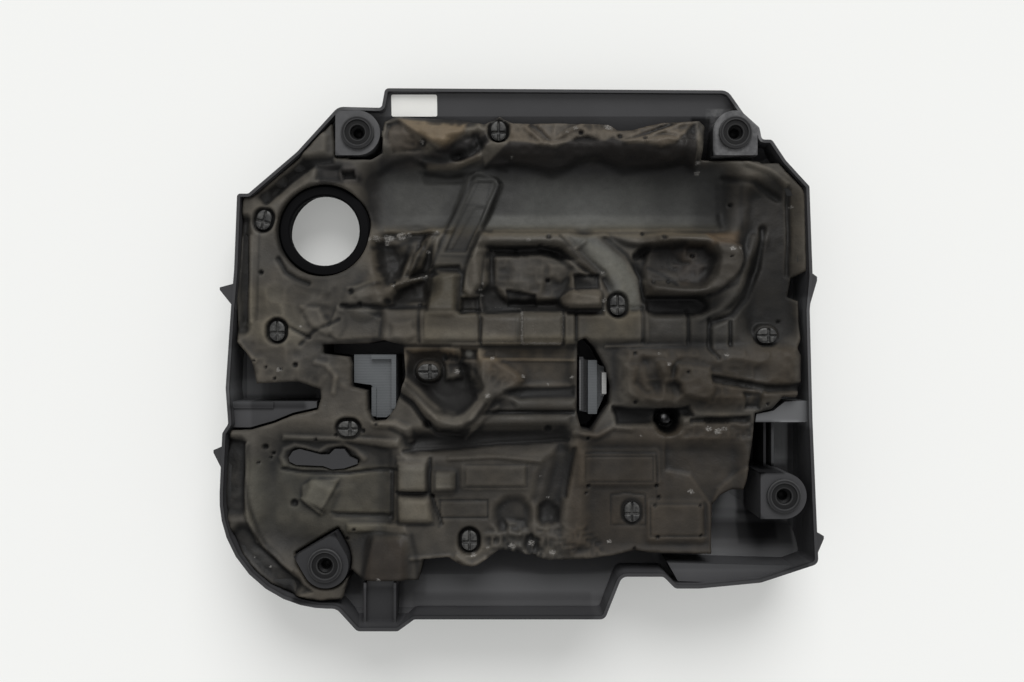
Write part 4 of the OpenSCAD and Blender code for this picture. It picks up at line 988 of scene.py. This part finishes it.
def addPaint(x, y, colour):
    # Painted light and shade over the trough and the channel
    for tone, strength, fade, outline in lightAndShadeWashes:
        part = areaOf(x, y, outline, fade)
        share = insideShare(x[part], y[part], outline, fade)[..., None] * strength
        colour[part] += (np.array(tone) - colour[part]) * share
    for tone, strength, fade, outline in tints:
        part = areaOf(x, y, outline, fade)
        share = insideShare(x[part], y[part], outline, fade)[..., None] * strength
        colour[part] *= 1 + (np.array(tone) - 1) * share
    # Painted shade in the small holes
    for hx, hy, radius in holes:
        part = areaOf(x, y, [(hx, hy)], radius + 3)
        share = smooth(1.5 - np.hypot(x[part] - hx, y[part] - hy) / radius)[..., None]
        colour[part] *= 1 - 0.88 * share
    # Painted shade and shadow along the folds and creases
    for strength, reach, course in foldShade:
        part = areaOf(x, y, course, reach)
        share = strength * smooth(1.1 - nearLine(x[part], y[part], course) / reach)
        colour[part] *= 1 - share[..., None]
    # Painted shade in the well round each clip
    for cx, cy, turn in clips:
        half = clipSet["well"] / 2
        well = (cx, cy, half, half + 2, turn, half, 3)
        colour *= 1 - 0.75 * boxShare(x, y, well)[..., None]
    # Round spots, among them a painted highlight and painted shade
    for sx, sy, radius, tone in spots:
        share = smooth(1.5 - np.hypot(x - sx, y - sy) / radius)[..., None]
        colour += (np.array(tone) - colour) * share
    return colour


def chipShare(x, y):    # where the skin is chipped or scuffed pale
    chip = np.zeros(x.shape)
    for fx, fy, radius in flecks:
        part = areaOf(x, y, [(fx, fy)], 2 * radius + 3)
        share = smooth(1.5 - np.hypot(x[part] - fx, (y[part] - fy) * 1.3) / (radius * 1.15))
        chip[part] = np.maximum(chip[part], share)
    for strength, reach, course in scuffs:
        part = areaOf(x, y, course, reach)
        share = strength * smooth(1.2 - nearLine(x[part], y[part], course) / reach)
        chip[part] = np.maximum(chip[part], share)
    return chip


def boxShare(x, y, form):    # 1 on a soft rounded box, 0 away from it
    cx, cy, halfWide, halfLong, turn, corner, slope = form[:7]
    c, s = math.cos(math.radians(turn)), math.sin(math.radians(turn))
    dx, dy = x - cx, y - cy
    qx = np.abs(dx * c + dy * s) - halfWide + corner
    qy = np.abs(dy * c - dx * s) - halfLong + corner
    away = np.hypot(np.maximum(qx, 0), np.maximum(qy, 0)) + np.minimum(np.maximum(qx, qy), 0) - corner
    return smooth(0.5 - away / slope)


def nearestOnLoop(x, y, loop):    # distance to a loop, the nearest point and whether it is inside
    best = np.full(x.shape, 1e9)
    nearX, nearY = np.zeros(x.shape), np.zeros(x.shape)
    inside = np.zeros(x.shape, bool)
    for (ax, ay), (bx, by) in zip(loop, loop[1:] + loop[:1]):
        ex, ey = bx - ax, by - ay
        t = np.clip(((x - ax) * ex + (y - ay) * ey) / max(ex * ex + ey * ey, 1e-9), 0, 1)
        px, py = ax + t * ex, ay + t * ey
        away = np.hypot(x - px, y - py)
        closer = away < best
        best = np.where(closer, away, best)
        nearX, nearY = np.where(closer, px, nearX), np.where(closer, py, nearY)
        crosses = ((ay > y) != (by > y)) & (x < ex * (y - ay) / (ey if abs(ey) > 1e-9 else 1e-9) + ax)
        inside ^= crosses
    return best, nearX, nearY, inside


def bossLoop(x, y, turn, grow):    # D outline with its flat side towards turn
    r = bossWidth / 2 + grow
    points = arcPoints(0, 0, r, 90, 270, 20) + [(r, -r), (r, r)]
    a = math.radians(turn)
    c, s = math.cos(a), math.sin(a)
    return [(x + px * c - py * s, y + px * s + py * c) for px, py in points]


def softNoise(x, y, size, seed):    # smooth noise from -1 to 1 with cells of the given size
    table = np.random.default_rng(seed).uniform(-1, 1, (256, 256))
    u, v = x / size + 100, y / size + 100
    i, j = np.floor(u).astype(int), np.floor(v).astype(int)
    fu, fv = smooth(u - i), smooth(v - j)
    a, b = table[j % 256, i % 256], table[j % 256, (i + 1) % 256]
    c, d = table[(j + 1) % 256, i % 256], table[(j + 1) % 256, (i + 1) % 256]
    return (a * (1 - fu) + b * fu) * (1 - fv) + (c * (1 - fu) + d * fu) * fv


def blurred(field, cells):    # three running means in each direction
    for axis in (0, 1):
        for _ in range(3):
            pad = [(cells, cells) if k == axis else (0, 0) for k in (0, 1)]
            run = np.cumsum(np.pad(field, pad, mode="edge"), axis=axis)
            run = np.concatenate([np.zeros_like(np.take(run, [0], axis)), run], axis)
            n = 2 * cells + 1
            size = field.shape[axis]
            high = np.take(run, range(n, n + size), axis)
            low = np.take(run, range(0, size), axis)
            field = (high - low) / n
    return field


def padHeight(x, y):
    z = rimZ(y) - padSet["drop"]
    for form in padForms:
        z = z + form[7] * boxShare(x, y, form)
    z = addRelief(x, y, z) + 0.5 * softNoise(x, y, 22, 3) + 0.3 * softNoise(x, y, 7, 4)
    z = np.maximum(z, shellFloor(x, y) + 4)
    for cx, cy, turn in clips:    # a level seat round each clip
        seat = rimZ(cy) - padSet["drop"] - clipSet["sunk"] - clipSet["thick"] - 0.5
        half = clipSet["well"] / 2 - 0.5
        well = (cx, cy, half, half + 2, turn, half, 3)
        share = boxShare(x, y, well)
        z = z * (1 - share) + seat * share
    return z


def padPaint(x, y, z):
    # Painted shade: creases, hollows and wide hollows are darkened; the noise terms add random tone
    crease = np.clip((blurred(z, 1) - z) / 0.7, -0.7, 1)
    hollow = np.clip((blurred(z, 6) - z) / 4, -1, 1)
    wide = np.clip((blurred(z, 20) - z) / 12, -1, 1)
    light = 0.5 - 0.3 * crease - 0.4 * hollow - 0.35 * wide
    light += 0.12 * softNoise(x, y, 30, 11) + 0.1 * softNoise(x, y, 9, 12)
    brown = np.clip(0.45 + 0.4 * softNoise(x, y, 45, 13) + 0.2 * softNoise(x, y, 12, 14), 0, 1)
    light = np.clip(light, 0, 1)[..., None]
    brown = brown[..., None]
    dark, mid, warm = (np.array(skinColours[k]) for k in ("dark", "mid", "warm"))
    colour = dark + (mid - dark) * light
    colour = colour * (1 + (warm - 1) * brown)
    sheen = np.clip(0.5 + 0.5 * softNoise(x, y, 26, 15), 0, 1)
    return addPaint(x, y, colour), sheen


def trimmedGrid(xs, ys, loops):    # grid inside the first loop and outside the others, its edge on the loops
    x, y = np.meshgrid(xs, ys)
    inside = np.ones(x.shape, bool)
    edge = np.full(x.shape, 1e9)
    nearX, nearY = x.copy(), y.copy()
    for k, loop in enumerate(loops):
        away, px, py, within = nearestOnLoop(x, y, loop)
        inside &= within if k == 0 else ~within
        closer = away < edge
        edge = np.where(closer, away, edge)
        nearX, nearY = np.where(closer, px, nearX), np.where(closer, py, nearY)
    depth = np.where(inside, edge, -edge)
    kept = (depth[:-1, :-1] + depth[1:, :-1] + depth[:-1, 1:] + depth[1:, 1:]) > 0
    rows, cols = np.nonzero(kept)
    across = x.shape[1]
    a = rows * across + cols
    quads = np.stack([a, a + 1, a + across + 1, a + across], 1)
    full = np.pad(kept, 1).astype(int)
    tied = full[:-1, :-1] + full[1:, :-1] + full[:-1, 1:] + full[1:, 1:]
    border = (tied > 0) & (tied < 4)
    x, y = np.where(border, nearX, x), np.where(border, nearY, y)
    return x, y, np.where(border, 0, np.maximum(depth, 0)), quads


def packed(quads, *fields):    # drops the grid points that no face uses
    used = np.unique(quads)
    slot = -np.ones(fields[0].size, int)
    slot[used] = np.arange(len(used))
    return slot[quads], [field.reshape(fields[0].size, -1)[used] for field in fields]


def makePad(material):
    pitch = padSet["pitch"]
    loops = [padOutline, *padHoles.values()]
    loops += [bossLoop(bx, by, turn, padSet["aroundBosses"]) for bx, by, turn in bosses.values()]
    collarRadius = filler["collar"] / 2 + padSet["aroundFiller"]
    loops.append(arcPoints(filler["x"], filler["y"], collarRadius, 0, 360, 72))
    xs, ys = np.arange(left, right + pitch, pitch), np.arange(front + 20, rear, pitch)
    x, y, depth, quads = trimmedGrid(xs, ys, loops)
    z = padHeight(x, y)
    colour, sheen = padPaint(x, y, z)
    chip = chipShare(x, y)
    rounding = padSet["edgeRound"]
    rim = np.clip(1 - depth / rounding, 0, 1)
    z = z - rounding * (1 - np.sqrt(np.clip(1 - rim ** 2, 0, 1)))
    quads, (px, py, pz, tint, gloss, chipped) = packed(quads, x, y, z, colour, sheen, chip)
    points = np.concatenate([px, py, pz], 1)
    points, faces, tint, gloss = closeBelow(points, quads, tint, gloss[:, 0])
    chipped = np.concatenate([chipped[:, 0], np.zeros(len(points) - len(chipped))])
    pad = addPiece("foamPad", points, faces, material)
    paint = pad.data.attributes.new("paint", "FLOAT_COLOR", "POINT")
    opaque = np.concatenate([tint, np.ones((len(tint), 1))], 1)
    paint.data.foreach_set("color", opaque.astype(np.float32).ravel())
    for name, values in (("sheen", gloss), ("chip", chipped)):
        attribute = pad.data.attributes.new(name, "FLOAT", "POINT")
        attribute.data.foreach_set("value", values.astype(np.float32))
    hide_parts("foam_pad")
    print("foam pad:", len(points), "points,", sum(len(f) - 2 for f in faces), "triangles")


# Clips: a rounded oval head with a cross slit, on an open shank

def makeClip(number, cx, cy, turn, material):
    wide, long = clipSet["width"] / 2, clipSet["length"] / 2
    stretch = long - wide
    oval = [(px, py + stretch) for px, py in arcPoints(0, 0, wide, 0, 180, 20)]
    oval += [(px, py - stretch) for px, py in arcPoints(0, 0, wide, 180, 360, 20)]
    pitch, crown = clipSet["pitch"], clipSet["crown"]
    xs, ys = np.arange(-wide - 0.3, wide + 0.6, pitch), np.arange(-long - 0.3, long + 0.6, pitch)
    x, y, depth, quads = trimmedGrid(xs, ys, [oval])
    z = crown * np.sqrt(np.clip(1 - np.clip(1 - depth / clipSet["crownEdge"], 0, 1) ** 2, 0, 1)) - crown
    across = smooth(1.5 - np.abs(y + 1.6) / 1.15)
    along = smooth(1.5 - np.abs(x) / 0.8)
    z = z - clipSet["slitDepth"] * np.maximum(across, along) * smooth(depth / 0.8)
    quads, (px, py, pz) = packed(quads, x, y, z)
    points = np.concatenate([px, py, pz], 1)
    faces = quads.tolist()
    thick, shank = clipSet["thick"], clipSet["shank"]
    for drop, shrink in ((clipSet["lip"], 1.0), (thick, 1.0), (thick, shank), (clipSet["shankEnd"], shank)):
        points, faces = addSkirt(points, faces, drop, shrink)
    a = math.radians(turn)
    top = rimZ(cy) - padSet["drop"] - clipSet["sunk"]
    spun = np.stack([cx + points[:, 0] * math.cos(a) - points[:, 1] * math.sin(a),
                     cy + points[:, 0] * math.sin(a) + points[:, 1] * math.cos(a), top + points[:, 2]], 1)
    clip = addPiece("clip%d" % number, spun, faces, material)
    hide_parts("foam_clip_%d" % number)


# Label: its corner nearest the filler and the rear edge, its size and the slope of the strip under it
labelSet = {"x": left + 147.8, "y": rear - 4.64, "top": 40.35, "width": 41.5, "length": 19.4, "corner": 1.7,
            "tilt": 11.6, "thick": 0.35}


def makeLabel(material):    # bare label with rounded corners, tilted as the strip under it
    w, l, r = labelSet["width"], labelSet["length"], labelSet["corner"]
    outline = []
    for cx, cy, start in ((w - r, -r, 0), (r, -r, 90), (r, r - l, 180), (w - r, r - l, 270)):
        outline += arcPoints(cx, cy, r, start, start + 90, 6)
    tilt = math.radians(labelSet["tilt"])
    points = [(labelSet["x"] + px, labelSet["y"] + py * math.cos(tilt) - drop * math.sin(tilt),
               labelSet["top"] + py * math.sin(tilt) - drop * math.cos(tilt))
              for drop in (0, labelSet["thick"]) for px, py in outline]
    n = len(outline)
    faces = [list(range(n)), list(range(2 * n - 1, n - 1, -1))]
    faces += [[(k + 1) % n, k, n + k, n + (k + 1) % n] for k in range(n)]
    label = addPiece("bareLabel", points, faces, material, False)
    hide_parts("part_label")


def openEdges(faces):    # edges with a face on one side only, as start and end
    keys = {(f[k], f[(k + 1) % len(f)]) for f in faces for k in range(len(f))}
    return dict(e for e in keys if (e[1], e[0]) not in keys)


def addSkirt(points, faces, drop, shrink):    # carries the open edge down to a level
    nextOf = openEdges(faces)
    start = min(nextOf)
    loop = [start]
    while nextOf[loop[-1]] != start:
        loop.append(nextOf[loop[-1]])
    ring = points[loop].copy()
    if shrink != 1.0 and np.allclose(ring[:, 2], -drop):
        ring[:, :2] *= shrink
    ring[:, 2] = -drop
    first = len(points)
    count = len(loop)
    for k in range(count):
        n = (k + 1) % count
        faces.append([loop[n], loop[k], first + k, first + n])
    return np.concatenate([points, ring]), faces


# Floor of the shell: where its flat middle ends, where its rise ends and how high it climbs
floorSet = {"side": (175, right - 19, 16), "rear": (140, rear - 6, 37), "front": (110, -front - 17, 46)}


def shellFloor(x, y):    # inner face of the shell, as in the part's source
    z = 0
    for edge, reach in (("side", np.abs(x)), ("rear", y), ("front", -y)):
        start, end, climb = floorSet[edge]
        z = np.maximum(z, climb * smooth((reach - start) / (end - start)))
    return z + cover["wall"]


def padUnder(x, y):    # underside of the pad, clear of the floor and of the leaning skirts
    away, _, _, _ = nearestOnLoop(np.atleast_1d(x), np.atleast_1d(y), rimOutline)
    lift = padSet["lean"] * np.maximum(padSet["leanWidth"] - away, 0)
    return np.minimum(shellFloor(x, y) + padSet["overFloor"] + lift, rimZ(y) - padSet["underRim"])


def closeBelow(points, quads, tint, gloss):    # walls from the pad's edges down to its underside
    edges = np.concatenate([quads[:, [0, 1]], quads[:, [1, 2]], quads[:, [2, 3]], quads[:, [3, 0]]])
    keys = {tuple(e) for e in edges.tolist()}
    nextOf = dict(e for e in keys if (e[1], e[0]) not in keys)
    loops = []
    waiting = set(nextOf)
    while waiting:
        start = waiting.pop()
        loop = [start]
        walk = nextOf[start]
        while walk != start:
            loop.append(walk)
            waiting.discard(walk)
            walk = nextOf[walk]
        loops.append(loop)
    faces = quads.tolist()
    low, lowTint, lowGloss = [], [], []
    count = len(points)
    outline = []
    below = {}
    for loop in loops:
        floorZ = padUnder(points[loop, 0], points[loop, 1])
        previous = loop
        for drop in (*padSet["skirtDrops"], None):    # the last ring lies on the underside
            ring = []
            for k, i in enumerate(loop):
                px, py, top = points[i]
                z = floorZ[k] if drop is None else max(top - drop, floorZ[k] + 0.3)
                low.append((px, py, min(z, top - 0.1 - (drop or 12) * 0.05)))
                # Painted shade: the walls under the pad's edge are darkened going down
                lowTint.append(tint[i] * (0.7 if drop == padSet["skirtDrops"][0] else 0.4))
                lowGloss.append(0.1)
                ring.append(count)
                count += 1
            for k in range(len(loop)):
                n = (k + 1) % len(loop)
                faces.append([previous[n], previous[k], ring[k], ring[n]])
            previous = ring
        outline.append(previous)
    points = np.concatenate([points, np.array(low)])
    tint = np.concatenate([tint, np.array(lowTint)])
    gloss = np.concatenate([gloss, np.array(lowGloss)])
    return closeBottom(points, faces, tint, gloss, outline)


def closeBottom(points, faces, tint, gloss, outline):    # the underside, coarser than the face
    place, verts, edges = [], [], []
    for ring in outline:
        start = len(verts)
        for i in ring:
            place.append(i)
            verts.append(Vector((points[i][0], points[i][1])))
        edges += [(start + k, start + (k + 1) % len(ring)) for k in range(len(ring))]
    pitch = padSet["bottomPitch"]
    xs, ys = np.meshgrid(np.arange(left + 9, right, pitch), np.arange(front + 27, rear, pitch))
    loops = [[(points[i][0], points[i][1]) for i in ring] for ring in outline]
    main = int(np.argmax([len(loop) for loop in loops]))
    inside = np.ones(xs.shape, bool)
    for k, loop in enumerate(loops):
        away, _, _, within = nearestOnLoop(xs, ys, loop[::3])
        inside &= (within if k == main else ~within) & (away > 3)
    for px, py in zip(xs[inside], ys[inside]):
        place.append(-1)
        verts.append(Vector((px, py)))
    out = geometry.delaunay_2d_cdt(verts, edges, [], 1, 1e-5)
    flatVerts, flatFaces, origin = out[0], out[2], out[3]
    index, extra = [], []
    for k, source in enumerate(origin):
        known = [place[s] for s in source if place[s] >= 0]
        if known:
            index.append(known[0])
        else:
            px, py = flatVerts[k]
            index.append(len(points) + len(extra))
            extra.append((px, py, float(padUnder(px, py)[0])))
    centres = np.array([[sum(flatVerts[i][axis] for i in f) / 3 for axis in (0, 1)] for f in flatFaces])
    good = np.ones(len(centres), bool)
    for k, loop in enumerate(loops):
        within = nearestOnLoop(centres[:, 0], centres[:, 1], loop)[3]
        good &= within if k == main else ~within
    for f, fine in zip(flatFaces, good):
        if fine:
            faces.append([index[i] for i in reversed(f)])
    if extra:
        points = np.concatenate([points, np.array(extra)])
        tint = np.concatenate([tint, np.full((len(extra), 3), 0.02)])
        gloss = np.concatenate([gloss, np.zeros(len(extra))])
    return points, faces, tint, gloss


def dressNodes(finishes):
    for name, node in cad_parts.items():
        for prefix, material in finishes.items():
            if name.startswith(prefix):
                node.data.materials.clear()
                node.data.materials.append(material)


bpy.context.scene.view_settings.view_transform = "Standard"
makeCamera()
makeLight()
makeFloor()
print("stage ready")
dressNodes({
    "shell": shellFinish(),
    "stepped_insert": insertFinish(),
    "slot_insert": insertFinish(),
    "grommet": rubberFinish(),
})
makePad(foamFinish())
clipMaterial = clipFinish()
for number, (cx, cy, turn) in enumerate(clips, 1):
    makeClip(number, cx, cy, turn, clipMaterial)
makeLabel(labelFinish())
print("pieces ready")
